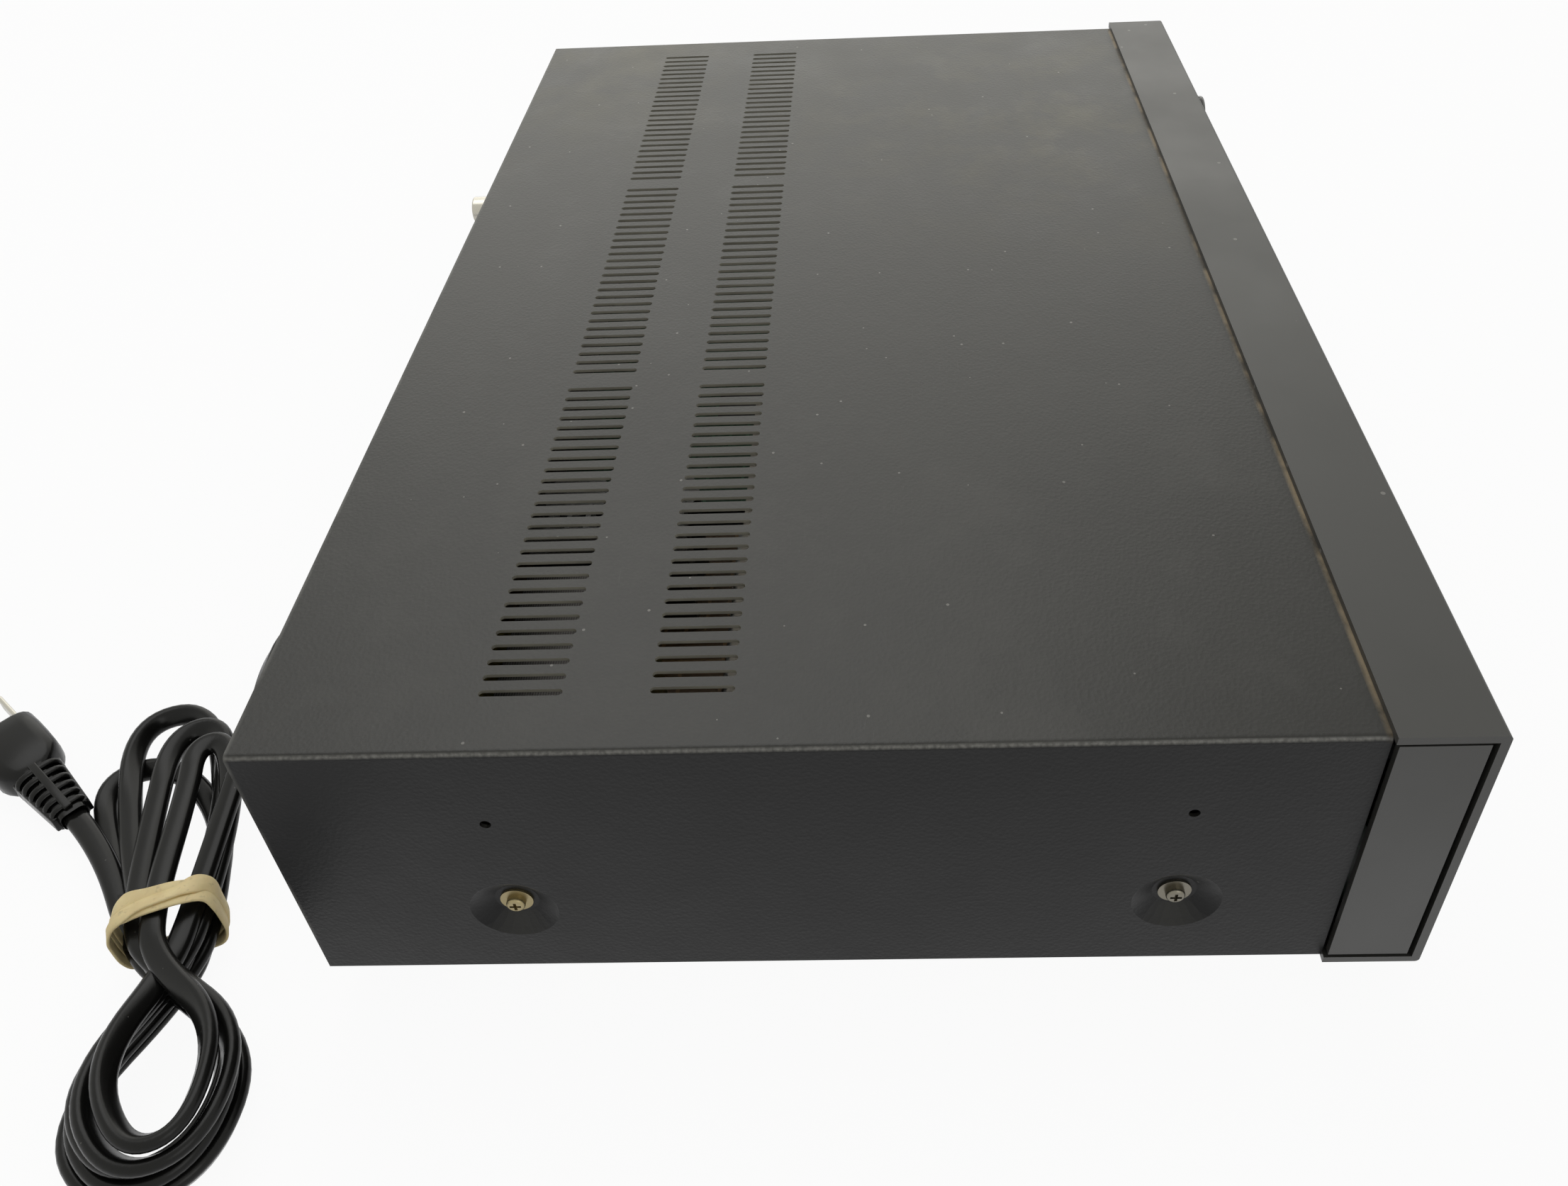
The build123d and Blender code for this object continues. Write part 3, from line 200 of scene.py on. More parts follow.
def flat_tube(name, path, section, roll):
    shape = bmesh.new()
    ring_before = None
    run = 0.0
    length_layer = shape.loops.layers.uv.new("UVMap")
    for number, here in enumerate(path):
        ahead_of = path[min(number + 1, len(path) - 1)]
        behind = path[max(number - 1, 0)]
        if number:
            run += (here - path[number - 1]).length
        tangent = (ahead_of - behind).normalized()
        level = tangent.cross(Vector((0, 0, 1))).normalized()
        level = Matrix.Rotation(roll(here), 3, tangent) @ level
        upright = level.cross(tangent)
        ring = [shape.verts.new(here + level * u + upright * w) for u, w in section]
        if ring_before:
            for k in range(len(ring)):
                nxt = (k + 1) % len(ring)
                face = shape.faces.new((ring_before[k], ring_before[nxt], ring[nxt], ring[k]))
                face.smooth = True
                marks = ((k, run_before), (k + 1, run_before), (k + 1, run), (k, run))
                for loop, (around, along) in zip(face.loops, marks):
                    loop[length_layer].uv = (around / len(ring), along)
        else:
            shape.faces.new(list(reversed(ring)))
        ring_before = ring
        run_before = run
    shape.faces.new(ring_before)
    bmesh.ops.recalc_face_normals(shape, faces=shape.faces)
    mesh = bpy.data.meshes.new(name)
    shape.to_mesh(mesh)
    shape.free()
    made = bpy.data.objects.new(name, mesh)
    scene.collection.objects.link(made)
    return made


def cord_section():
    flat = (cord_wide - cord_thick) / 2
    points = []
    for side in (1, -1):
        for step in range(6):
            angle = radians(-75 + 30 * step) if side > 0 else radians(105 + 30 * step)
            points.append((side * flat + cord_thick / 2 * cos(angle), cord_thick / 2 * sin(angle)))
        points.append((0.0, side * cord_thick / 2 * 0.94))
    return points


def cord_roll(place):
    s = (place - hank_middle).dot(Vector((cos(hank_turn), sin(hank_turn), 0)))
    wave = noise.noise(place * 14)
    if s < 0:
        return radians(48) * min(1, -s / 0.05) + 0.5 * wave
    return radians(-62) * min(1, max(0, (s - 0.055) / 0.03)) + 0.25 * wave


power_cord = flat_tube("dressed_cord", cord_path, cord_section(), cord_roll)

# Dust and scratches, the same over every finish: fine pale specks, thin stretched scratches and
# a slow change of tone. It puts out masks only.
def dust_group():
    group = bpy.data.node_groups.new("dust_and_scratches", "ShaderNodeTree")
    settings = {"Speck Scale": 260.0, "Speck Size": 0.1, "Scratch Scale": 60.0, "Tone Scale": 14.0}
    for name, value in settings.items():
        made = group.interface.new_socket(name, in_out="INPUT", socket_type="NodeSocketFloat")
        made.default_value = value
    for name in ("Specks", "Scratches", "Tone"):
        group.interface.new_socket(name, in_out="OUTPUT", socket_type="NodeSocketFloat")
    entry = add(group, "NodeGroupInput")
    place = add(group, "ShaderNodeTexCoord").outputs["Object"]
    cells = add(group, "ShaderNodeTexVoronoi", {"Vector": place, "Scale": entry.outputs["Speck Scale"]})
    near = add(group, "ShaderNodeMath", {0: cells.outputs["Distance"], 1: entry.outputs["Speck Size"]},
               operation="LESS_THAN")
    some = add(group, "ShaderNodeSeparateColor", {0: cells.outputs["Color"]})
    chosen = add(group, "ShaderNodeMath", {0: some.outputs[0], 1: 0.80}, operation="GREATER_THAN")
    specks = add(group, "ShaderNodeMath", {0: near.outputs[0], 1: chosen.outputs[0]}, operation="MULTIPLY")
    lines = []
    for turn, stretch in ((0.5, (1.0, 26.0, 26.0)), (-0.9, (1.0, 30.0, 30.0))):
        turned = add(group, "ShaderNodeMapping", {"Vector": place, "Rotation": (0.2, 0.1, turn),
                                                  "Scale": stretch})
        thin = add(group, "ShaderNodeTexNoise", {"Vector": turned.outputs[0], "Detail": 1.0, "Roughness": 0.4,
                                                 "Scale": entry.outputs["Scratch Scale"]})
        far = add(group, "ShaderNodeMath", {0: thin.outputs["Fac"], 1: 0.5}, operation="SUBTRACT")
        flat = add(group, "ShaderNodeMath", {0: far.outputs[0]}, operation="ABSOLUTE")
        line = add(group, "ShaderNodeMapRange", {"Value": flat.outputs[0], "From Min": 0.0, "From Max": 0.004,
                                                 "To Min": 1.0, "To Max": 0.0})
        patch = add(group, "ShaderNodeTexNoise", {"Vector": place, "Scale": 21.0 + 9 * turn, "Detail": 2.0})
        kept = add(group, "ShaderNodeMapRange", {"Value": patch.outputs["Fac"], "From Min": 0.62,
                                                 "From Max": 0.7})
        lines.append(add(group, "ShaderNodeMath", {0: line.outputs[0], 1: kept.outputs[0]},
                         operation="MULTIPLY"))
    both = add(group, "ShaderNodeMath", {0: lines[0].outputs[0], 1: lines[1].outputs[0]}, operation="MAXIMUM")
    slow = add(group, "ShaderNodeTexNoise", {"Vector": place, "Scale": entry.outputs["Tone Scale"],
                                             "Detail": 4.0, "Roughness": 0.6})
    leave = add(group, "NodeGroupOutput")
    group.links.new(specks.outputs[0], leave.inputs["Specks"])
    group.links.new(both.outputs[0], leave.inputs["Scratches"])
    group.links.new(slow.outputs["Fac"], leave.inputs["Tone"])
    return group


dust_and_scratches = dust_group()


def mix(tree, factor, one, two):
    made = add(tree, "ShaderNodeMix", data_type="RGBA")
    for index, value in ((0, factor), (6, one), (7, two)):
        socket = made.inputs[index]
        if isinstance(value, bpy.types.NodeSocket):
            tree.links.new(value, socket)
        else:
            socket.default_value = value if index == 0 else (*value, 1)
    return made.outputs[2]


def times(tree, one, two):
    return add(tree, "ShaderNodeMath", {0: one, 1: two}, operation="MULTIPLY").outputs[0]


def finish(name, colour, rough, metal=0.0, grain=900.0, depth=0.00002, specks=0.35, scratches=0.25,
           tone=0.12, dust=(0.30, 0.29, 0.27), specular=0.5, stretch=(1, 1, 1), speck_scale=260.0):
    material, tree, shader = new_material(name)
    marks = add(tree, "ShaderNodeGroup", node_tree=dust_and_scratches)
    marks.inputs["Speck Scale"].default_value = speck_scale
    dark = tuple(c * (1 - tone) for c in colour)
    light = tuple(min(1, c * (1 + tone) + 0.002) for c in colour)
    base = mix(tree, marks.outputs["Tone"], dark, light)
    worn = tuple(min(1, c * 1.6 + 0.03) for c in colour)
    base = mix(tree, times(tree, marks.outputs["Scratches"], scratches), base, worn)
    base = mix(tree, times(tree, marks.outputs["Specks"], specks), base, dust)
    tree.links.new(base, shader.inputs["Base Color"])
    place = add(tree, "ShaderNodeTexCoord").outputs["Object"]
    fine = add(tree, "ShaderNodeMapping", {"Vector": place, "Scale": stretch})
    bumps = add(tree, "ShaderNodeTexNoise", {"Vector": fine.outputs[0], "Scale": grain, "Detail": 3.0,
                                             "Roughness": 0.55})
    relief = add(tree, "ShaderNodeBump", {"Height": bumps.outputs["Fac"], "Distance": depth, "Strength": 1.0})
    tree.links.new(relief.outputs[0], shader.inputs["Normal"])
    duller = add(tree, "ShaderNodeMapRange", {"Value": marks.outputs["Tone"],
                                              "From Min": 0.3, "To Min": max(0.05, rough - 0.07),
                                              "From Max": 0.7, "To Max": min(1, rough + 0.07)})
    tree.links.new(duller.outputs[0], shader.inputs["Roughness"])
    shader.inputs["Metallic"].default_value = metal
    shader.inputs["Specular IOR Level"].default_value = specular
    return material


def dress(material, *nodes):
    for name in nodes:
        mesh = bpy.data.objects[name].data
        mesh.materials.clear()
        mesh.materials.append(material)


black_vinyl = finish("black_vinyl", (0.005, 0.0049, 0.0046), 0.25, specular=0.21, grain=700, depth=0.000012,
                     specks=0.2, scratches=0.2, tone=0.25, speck_scale=380)
power_cord.data.materials.append(black_vinyl)
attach(power_cord, "case")
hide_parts("power_cord", "cord_hank")

# Plug: black vinyl moulded over the end of the cord, a flat two-blade mains plug with a
# round-shouldered head and a slotted strain relief. The blades are nickel-plated, and each has a
# round mark in place of its hole.
plug_axis = Vector((cos(radians(plug_degrees)), sin(radians(plug_degrees)), 0))
plug_side = Vector((-plug_axis.y, plug_axis.x, 0))
plug_frame = Matrix((plug_side, Vector((0, 0, 1)), plug_axis)).transposed().to_4x4()
plug_frame = Matrix.Translation(route[0]) @ plug_frame


def rounded(place, station, corner):
    x = abs(place.x) ** corner * (1 if place.x > 0 else -1)
    y = abs(place.y) ** corner * (1 if place.y > 0 else -1)
    return Vector((x * station[1], y * station[2], station[0]))


def swept_block(shape, stations, corner):
    made = bmesh.ops.create_circle(shape, cap_ends=True, segments=24, radius=1.0)
    face = next(f for v in made["verts"] for f in v.link_faces)
    for vertex in made["verts"]:
        vertex.co = rounded(vertex.co, stations[0], corner)
    for before, station in zip(stations, stations[1:]):
        grown = bmesh.ops.extrude_face_region(shape, geom=[face])
        rim = [item for item in grown["geom"] if isinstance(item, bmesh.types.BMVert)]
        caps = [item for item in grown["geom"] if isinstance(item, bmesh.types.BMFace)]
        for vertex in rim:
            vertex.co.x *= station[1] / before[1]
            vertex.co.y *= station[2] / before[2]
            vertex.co.z = station[0]
        bmesh.ops.delete(shape, geom=[face], context="FACES_ONLY")
        face = caps[0]


def place_shape(name, shape, matrix, smooth=True):
    bmesh.ops.remove_doubles(shape, verts=shape.verts, dist=0.000001)
    bmesh.ops.recalc_face_normals(shape, faces=shape.faces)
    bmesh.ops.transform(shape, matrix=matrix, verts=shape.verts)
    for face in shape.faces:
        face.smooth = smooth
    mesh = bpy.data.meshes.new(name)
    shape.to_mesh(mesh)
    shape.free()
    made = bpy.data.objects.new(name, mesh)
    scene.collection.objects.link(made)
    return made


plug_shape = bmesh.new()
body = [(-0.001, 0.0040, 0.0030), (0.0, 0.0042, 0.0033), (0.0235, 0.0052, 0.0045),
        (0.0245, 0.0062, 0.0054), (0.0265, 0.0082, 0.0060), (0.0290, 0.0096, 0.0064),
        (0.0310, 0.0102, 0.0068), (0.0370, 0.0104, 0.0072), (0.0430, 0.0104, 0.0072),
        (0.0485, 0.0102, 0.0070), (0.0498, 0.0097, 0.0065), (0.0502, 0.0088, 0.0056)]
swept_block(plug_shape, body, 0.5)
rib_pitch = 0.0039
for number in range(6):
    start = 0.0012 + number * rib_pitch
    swell = 1 + 0.06 * number
    rib = [(start, 0.0052 * swell, 0.0042 * swell), (start + 0.0003, 0.0056 * swell, 0.0046 * swell),
           (start + 0.0017, 0.0058 * swell, 0.0048 * swell), (start + 0.0020, 0.0054 * swell, 0.0044 * swell)]
    swept_block(plug_shape, rib, 0.62)
spine_lean = atan(0.0014 / 0.019)
spine_middle = 0.0124
for height in (0.0046, -0.0046):
    made = bmesh.ops.create_cube(plug_shape, size=1.0)
    bmesh.ops.scale(plug_shape, vec=(0.0026, 0.0018, 0.0240), verts=made["verts"])
    lean = Matrix.Rotation(spine_lean * (-1 if height > 0 else 1), 4, "X")
    placed = Matrix.Translation((0, height, spine_middle)) @ lean
    bmesh.ops.transform(plug_shape, matrix=placed, verts=made["verts"])
for side in (1, -1):
    made = bmesh.ops.create_cube(plug_shape, size=1.0)
    bmesh.ops.scale(plug_shape, vec=(0.0020, 0.0052, 0.0240), verts=made["verts"])
    lean = Matrix.Rotation(spine_lean * side, 4, "Y")
    placed = Matrix.Translation((side * 0.0056, 0, spine_middle)) @ lean
    bmesh.ops.transform(plug_shape, matrix=placed, verts=made["verts"])
plug = place_shape("moulded_plug", plug_shape, plug_frame)
plug.data.materials.append(black_vinyl)
soften = plug.modifiers.new("soft_edges", "BEVEL")
soften.width = 0.0005
soften.segments = 3
soften.angle_limit = radians(40)
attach(plug, "case")

blade_shape = bmesh.new()
blade_spread = 0.00635
blade_middle = 0.0575
hole_mark = 0.0630
for side in (1, -1):
    made = bmesh.ops.create_cube(blade_shape, size=1.0)
    bmesh.ops.scale(blade_shape, vec=(0.0015, 0.00635, 0.0175), verts=made["verts"])
    bmesh.ops.translate(blade_shape, vec=(side * blade_spread, 0, blade_middle), verts=made["verts"])
    made = bmesh.ops.create_cone(blade_shape, cap_ends=True, segments=20, radius1=0.0016, radius2=0.0016,
                                 depth=0.0016)
    ring = Matrix.Translation((side * blade_spread, 0, hole_mark)) @ Matrix.Rotation(pi / 2, 4, "Y")
    bmesh.ops.transform(blade_shape, matrix=ring, verts=made["verts"])
blades = place_shape("plug_blades", blade_shape, plug_frame, smooth=False)
nickel = finish("nickel_plate", (0.46, 0.44, 0.39), 0.28, metal=1.0, grain=500, depth=0.000006, tone=0.1,
                scratches=0.35, specks=0.2)
blades.data.materials.append(nickel)
soften = blades.modifiers.new("tips", "BEVEL")
soften.width = 0.0006
soften.segments = 2
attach(blades, "case")
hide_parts("power_plug")

# Rubber band: a natural beige band pulled three times round the waist of the hank. Its wraps are
# thin ribbons that lean, vary in width and twist over the top, where they lie on each other.
band_middle_t = 1.2
band_half_t = 13.6
band_top = 0.0218
band_floor = 0.0013
band_wide = 0.0046
band_thick = 0.0009
wraps = [(5.6, 0.6, 0.0), (2.6, 1.6, 0.9), (3.6, -2.2, 1.8)]
band_steps = 120


def wrap_point(angle, start_s, lean, lift):
    across = cos(angle)
    up = sin(angle)
    t = band_middle_t + (band_half_t + 0.4 * lift) * abs(across) ** 0.55 * (1 if across > 0 else -1)
    middle_z = (band_top + band_floor) / 2
    half_z = middle_z - band_floor + 0.0004 * lift * (up > 0)
    z = middle_z + half_z * abs(up) ** 0.5 * (1 if up > 0 else -1)
    s = start_s + lean * across + 1.0 * sin(2 * angle + start_s) + 0.8 * up
    return on_hank(s, t, z)


band_shape = bmesh.new()
along_hank = (on_hank(1, 0, 0) - on_hank(0, 0, 0)).normalized()
edge = [(1, 0.4), (0.85, 1), (-0.85, 1), (-1, 0.4), (-1, -0.4), (-0.85, -1), (0.85, -1), (1, -0.4)]
for start_s, lean, lift in wraps:
    loop = [wrap_point(2 * pi * step / band_steps, start_s, lean, lift) for step in range(band_steps)]
    rings = []
    for step, place in enumerate(loop):
        angle = 2 * pi * step / band_steps
        tangent = (loop[(step + 1) % band_steps] - loop[step - 1]).normalized()
        twist = 0.32 * sin(3 * angle + start_s * 1.7) * max(0, sin(angle))
        flat = Matrix.Rotation(twist, 3, tangent) @ along_hank
        out = tangent.cross(flat).normalized()
        flat = out.cross(tangent)
        wide = band_wide / 2 * (1 + 0.25 * sin(2 * angle + start_s) + 0.1 * sin(7 * angle))
        corners = [place + flat * wide * a + out * band_thick / 2 * c for a, c in edge]
        rings.append([band_shape.verts.new(corner) for corner in corners])
    for one, two in zip(rings, rings[1:] + rings[:1]):
        for k in range(len(edge)):
            nxt = (k + 1) % len(edge)
            band_shape.faces.new((one[k], one[nxt], two[nxt], two[k]))
rubber_band = place_shape("rubber_band", band_shape, Matrix.Identity(4))
band_rubber, tree, shader = new_material("natural_rubber")
place = add(tree, "ShaderNodeTexCoord").outputs["Object"]
cloud = add(tree, "ShaderNodeTexNoise", {"Vector": place, "Scale": 160.0, "Detail": 4.0})
streak = add(tree, "ShaderNodeTexNoise", {"Vector": place, "Scale": 600.0, "Detail": 3.0})
warm = mix(tree, cloud.outputs["Fac"], (0.66, 0.50, 0.25), (0.95, 0.82, 0.47))
dirty = add(tree, "ShaderNodeMapRange", {"Value": streak.outputs["Fac"], "From Min": 0.6, "From Max": 0.75,
                                         "To Max": 0.35})
tree.links.new(mix(tree, dirty.outputs[0], warm, (0.26, 0.19, 0.11)), shader.inputs["Base Color"])
relief = add(tree, "ShaderNodeBump", {"Height": cloud.outputs["Fac"], "Distance": 0.0006, "Strength": 0.7})
tree.links.new(relief.outputs[0], shader.inputs["Normal"])
shader.inputs["Roughness"].default_value = 0.62
shader.inputs["Subsurface Weight"].default_value = 0.15
shader.inputs["Subsurface Radius"].default_value = (0.002, 0.001, 0.0005)
rubber_band.data.materials.append(band_rubber)
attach(rubber_band, "case")
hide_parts("cord_band")

# Top cover: one sheet of steel folded over the chassis, painted with a fine leather-textured
# charcoal finish. The two rows of punched slots show paler cut edges with a painted glint.
# Handling has marked the top and left a brown line at the seam; the bends are worn and carry a
# painted highlight, and the side faces carry painted shade.
cover_top = 0.1
cover_side = 0.2154
cover_front = -0.1174
cover_rear = 0.1482
slots_end = 0.2025
cover_paint, tree, shader = new_material("cover_paint")
place = add(tree, "ShaderNodeTexCoord").outputs["Object"]
x, y, z = add(tree, "ShaderNodeSeparateXYZ", {0: place}).outputs
normal = add(tree, "ShaderNodeSeparateXYZ", {0: add(tree, "ShaderNodeNewGeometry").outputs["True Normal"]})


def between(tree, value, low, high, to_low=0.0, to_high=1.0):
    return add(tree, "ShaderNodeMapRange", {"Value": value, "From Min": low, "From Max": high,
                                            "To Min": to_low, "To Max": to_high}).outputs[0]


def size_of(tree, value):
    return add(tree, "ShaderNodeMath", {0: value}, operation="ABSOLUTE").outputs[0]


def blot(tree, place, middle, reach, scale, low, high):
    away = add(tree, "ShaderNodeVectorMath", {0: place, 1: middle}, operation="DISTANCE").outputs["Value"]
    near = between(tree, away, reach, reach * 0.2)
    patchy = add(tree, "ShaderNodeTexNoise", {"Vector": place, "Scale": scale, "Detail": 5.0,
                                              "Roughness": 0.65})
    return times(tree, near, between(tree, patchy.outputs["Fac"], low, high))


marks = add(tree, "ShaderNodeGroup", node_tree=dust_and_scratches)
marks.inputs["Speck Scale"].default_value = 170.0
marks.inputs["Speck Size"].default_value = 0.07
marks.inputs["Tone Scale"].default_value = 9.0
paint = mix(tree, between(tree, marks.outputs["Tone"], 0.3, 0.7),
            (0.0175, 0.0170, 0.0152), (0.0250, 0.0245, 0.0220))
olive = add(tree, "ShaderNodeMath", {0: blot(tree, place, (0.215, 0.148, 0.1), 0.16, 26.0, 0.40, 0.75),
                                     1: blot(tree, place, (0.13, -0.08, 0.1), 0.15, 30.0, 0.47, 0.8)},
            operation="MAXIMUM").outputs[0]
paint = mix(tree, times(tree, olive, 0.9), paint, (0.062, 0.055, 0.030))
smear = add(tree, "ShaderNodeTexNoise", {"Vector": place, "Scale": 34.0, "Detail": 6.0, "Roughness": 0.7})
film = times(tree, between(tree, smear.outputs["Fac"], 0.48, 0.75, 0, 0.3),
             between(tree, normal.outputs[2], 0.3, 0.9))
paint = mix(tree, film, paint, (0.075, 0.073, 0.068))
# Side faces: painted shade. The paint turns darker where the surface faces sideways, as the sides lie in
# shadow; the same mask also lowers their specular level.
side_faces_painted_shade = between(tree, size_of(tree, normal.outputs[2]), 0.6, 0.3)
paint = mix(tree, side_faces_painted_shade, paint, (0.0105, 0.0105, 0.011))
fine_wear_and_highlight_noise = add(tree, "ShaderNodeTexNoise", {"Vector": place, "Scale": 900.0, "Detail": 2.0})
wear_and_highlight_noise = add(tree, "ShaderNodeTexNoise", {"Vector": place, "Scale": 70.0, "Detail": 4.0})
seam_line = times(tree, between(tree, y, cover_front, cover_front - 0.0012),
                  between(tree, wear_and_highlight_noise.outputs["Fac"], 0.42, 0.60, 0.15, 0.95))
seam_line = times(tree, seam_line, between(tree, z, cover_top - 0.0015, cover_top + 0.0002))
paint = mix(tree, seam_line, paint, (0.27, 0.215, 0.14))
# Along the top folds the paint is lighter: partly worn paint, partly a painted highlight along the fold.
bend_wear_and_highlight = times(tree, between(tree, size_of(tree, x), cover_side - 0.0005, cover_side),
             between(tree, z, cover_top - 0.0006, cover_top))
bend_wear_and_highlight = times(tree, bend_wear_and_highlight, between(tree, fine_wear_and_highlight_noise.outputs["Fac"], 0.35, 0.65, 0.35, 0.75))
paint = mix(tree, bend_wear_and_highlight, paint, (0.26, 0.255, 0.24))
# The rear edge is painted lighter: partly worn paint, partly a painted highlight along the edge.
rear_rim_wear_and_highlight = times(tree, between(tree, y, cover_rear - 0.0008, cover_rear),
                 between(tree, wear_and_highlight_noise.outputs["Fac"], 0.40, 0.6, 0.1, 0.7))
paint = mix(tree, rear_rim_wear_and_highlight, paint, (0.13, 0.128, 0.12))
paint = mix(tree, times(tree, marks.outputs["Scratches"], 0.30), paint, (0.11, 0.11, 0.108))
paint = mix(tree, times(tree, marks.outputs["Specks"], 0.45), paint, (0.33, 0.32, 0.30))
# Slot walls: the paler cut edge, brightened further as a painted glint.
wall = times(tree, between(tree, size_of(tree, normal.outputs[2]), 0.5, 0.2),
             between(tree, z, cover_top - 0.0008, cover_top - 0.0003))
wall = times(tree, wall, between(tree, size_of(tree, x), slots_end + 0.0005, slots_end))
cut_edge_and_glint = mix(tree, wear_and_highlight_noise.outputs["Fac"], (0.19, 0.18, 0.15), (0.48, 0.46, 0.39))
paint = mix(tree, times(tree, wall, 0.85), paint, cut_edge_and_glint)
tree.links.new(paint, shader.inputs["Base Color"])
leather = add(tree, "ShaderNodeTexNoise", {"Vector": place, "Scale": 1250.0, "Detail": 2.0, "Roughness": 0.5})
pebbles = add(tree, "ShaderNodeTexVoronoi", {"Vector": place, "Scale": 850.0})
height = add(tree, "ShaderNodeMath", {0: leather.outputs["Fac"], 1: pebbles.outputs["Distance"]},
             operation="ADD")
relief = add(tree, "ShaderNodeBump", {"Height": height.outputs[0], "Distance": 0.00004, "Strength": 1.0})
tree.links.new(relief.outputs[0], shader.inputs["Normal"])
tree.links.new(between(tree, smear.outputs["Fac"], 0.3, 0.7, 0.34, 0.44), shader.inputs["Roughness"])
tree.links.new(between(tree, side_faces_painted_shade, 0, 1, 0.32, 0.17), shader.inputs["Specular IOR Level"])
dress(cover_paint, "top_cover", "rear_panel")

# Side screws: pan heads with a washer, driven through the dimples. The rear pair has gone
# brassy and the front pair dull. The chassis is zinc-plated, and the rear screws, the foot screws
# and the jacks are nickel-plated.
brassy = finish("brassy_plate", (0.30, 0.25, 0.14), 0.38, metal=1.0, grain=500, depth=0.000008, tone=0.2)
zinc = finish("zinc_plate", (0.46, 0.455, 0.43), 0.36, metal=1.0, grain=60, depth=0.000006, tone=0.14,
              stretch=(1, 14, 14), scratches=0.4)
screws = bpy.data.objects["cover_screws"].data
screws.materials.clear()
dull_plate = finish("dull_plate", (0.20, 0.185, 0.15), 0.36, metal=1.0, grain=500, depth=0.000008, tone=0.25)
for metal in (dull_plate, brassy):
    screws.materials.append(metal)
for polygon in screws.polygons:
    polygon.material_index = 1 if polygon.center.y > 0 else 0
dress(nickel, "rear_screws", "foot_screws", "line_jack_shells", "coax_jack", "coax_cap")
dress(zinc, "base_chassis")

# Front bezel: a plastic moulding with a smooth satin charcoal coat, open at both ends, where a
# separate cap closes each side inside a narrow groove.
bezel_satin = finish("bezel_satin", (0.034, 0.0335, 0.031), 0.42, grain=1500, depth=0.000012, tone=0.10,
                     specks=0.45, scratches=0.3, speck_scale=150)
dress(bezel_satin, "front_bezel", "left_end_cap", "right_end_cap", "tray_front")

# Display: a smoked acrylic pane, switched off. Behind it lie the dark glass of the display, its
# thin grey frame and the faint segments of two level meters.
front_face = -0.1444


def coordinate(tree, index):
    place = add(tree, "ShaderNodeTexCoord").outputs["Object"]
    return add(tree, "ShaderNodeSeparateXYZ", {0: place}).outputs[index]


def within(tree, index, middle, half, soft=0.00008):
    moved = add(tree, "ShaderNodeMath", {0: coordinate(tree, index), 1: middle}, operation="SUBTRACT")
    return between(tree, size_of(tree, moved.outputs[0]), half + soft, half)


def round_off(tree, middle, inner, outer, axis, soft=0.0001):
    keep = [1, 1, 1]
    keep[axis] = 0
    place = add(tree, "ShaderNodeTexCoord").outputs["Object"]
    flat = add(tree, "ShaderNodeVectorMath", {0: place, 1: keep}, operation="MULTIPLY")
    centre = [value * kept for value, kept in zip(middle, keep)]
    away = add(tree, "ShaderNodeVectorMath", {0: flat.outputs[0], 1: centre}, operation="DISTANCE")
    away = away.outputs["Value"]
    return times(tree, between(tree, away, inner - soft, inner), between(tree, away, outer + soft, outer))


def paint_over(material, colour, *masks):
    tree = material.node_tree
    base = tree.nodes["Principled BSDF"].inputs["Base Color"]
    mask = masks[0]
    for other in masks[1:]:
        mask = times(tree, mask, other)
    tree.links.new(mix(tree, mask, base.links[0].from_socket, colour), base)


def stripes(tree, index, pitch, share):
    moved = add(tree, "ShaderNodeMath", {0: coordinate(tree, index), 1: 1 / pitch}, operation="MULTIPLY")
    part = add(tree, "ShaderNodeMath", {0: moved.outputs[0]}, operation="FRACT")
    return add(tree, "ShaderNodeMath", {0: part.outputs[0], 1: share}, operation="LESS_THAN").outputs[0]


smoked = finish("smoked_pane", (0.005, 0.005, 0.006), 0.09, grain=60, depth=0.000003, specks=0.3,
                scratches=0.2, tone=0.05)
tree = smoked.node_tree
window_x = 0.025
window_z = 0.074
for wide, tall, colour in ((0.0572, 0.0150, (0.045, 0.045, 0.046)), (0.0566, 0.0144, (0.010, 0.012, 0.012))):
    paint_over(smoked, colour, within(tree, 0, window_x, wide), within(tree, 2, window_z, tall))
for row in (0.0665, 0.0632):
    paint_over(smoked, (0.034, 0.038, 0.034), within(tree, 0, window_x, 0.048), within(tree, 2, row, 0.0008),
               stripes(tree, 0, 0.0024, 0.7))
dress(smoked, "display_window")

# Buttons: satin grey caps with a small printed symbol each. A small red lamp stands over the
# record button and another over the power button.
button_satin = finish("button_satin", (0.040, 0.040, 0.041), 0.36, grain=1300, depth=0.00001, specks=0.25,
                      scratches=0.3)
print_white = finish("symbol_white", (0.55, 0.55, 0.53), 0.5, specks=0.1)
print_red = finish("symbol_red", (0.42, 0.035, 0.03), 0.5, specks=0.1)
lamp_red = finish("lamp_red", (0.10, 0.008, 0.006), 0.15, specks=0.1, specular=0.6)
symbol_face = front_face - 0.00117
upper_row = 0.040
lower_row = 0.030
first_button = -0.035
button_pitch = 0.024
power_x = -0.190


def bar(x, wide, tall, z=0):
    return [(x - wide / 2, z - tall / 2), (x + wide / 2, z - tall / 2), (x + wide / 2, z + tall / 2),
            (x - wide / 2, z + tall / 2)]


def arrow(x, wide, tall):
    return [(x - wide / 2, -tall / 2), (x + wide / 2, 0), (x - wide / 2, tall / 2)]


def arc(radius, start, end, steps):
    turns = [radians(start + (end - start) * k / steps) for k in range(steps + 1)]
    return [(radius * cos(a), radius * sin(a)) for a in turns]


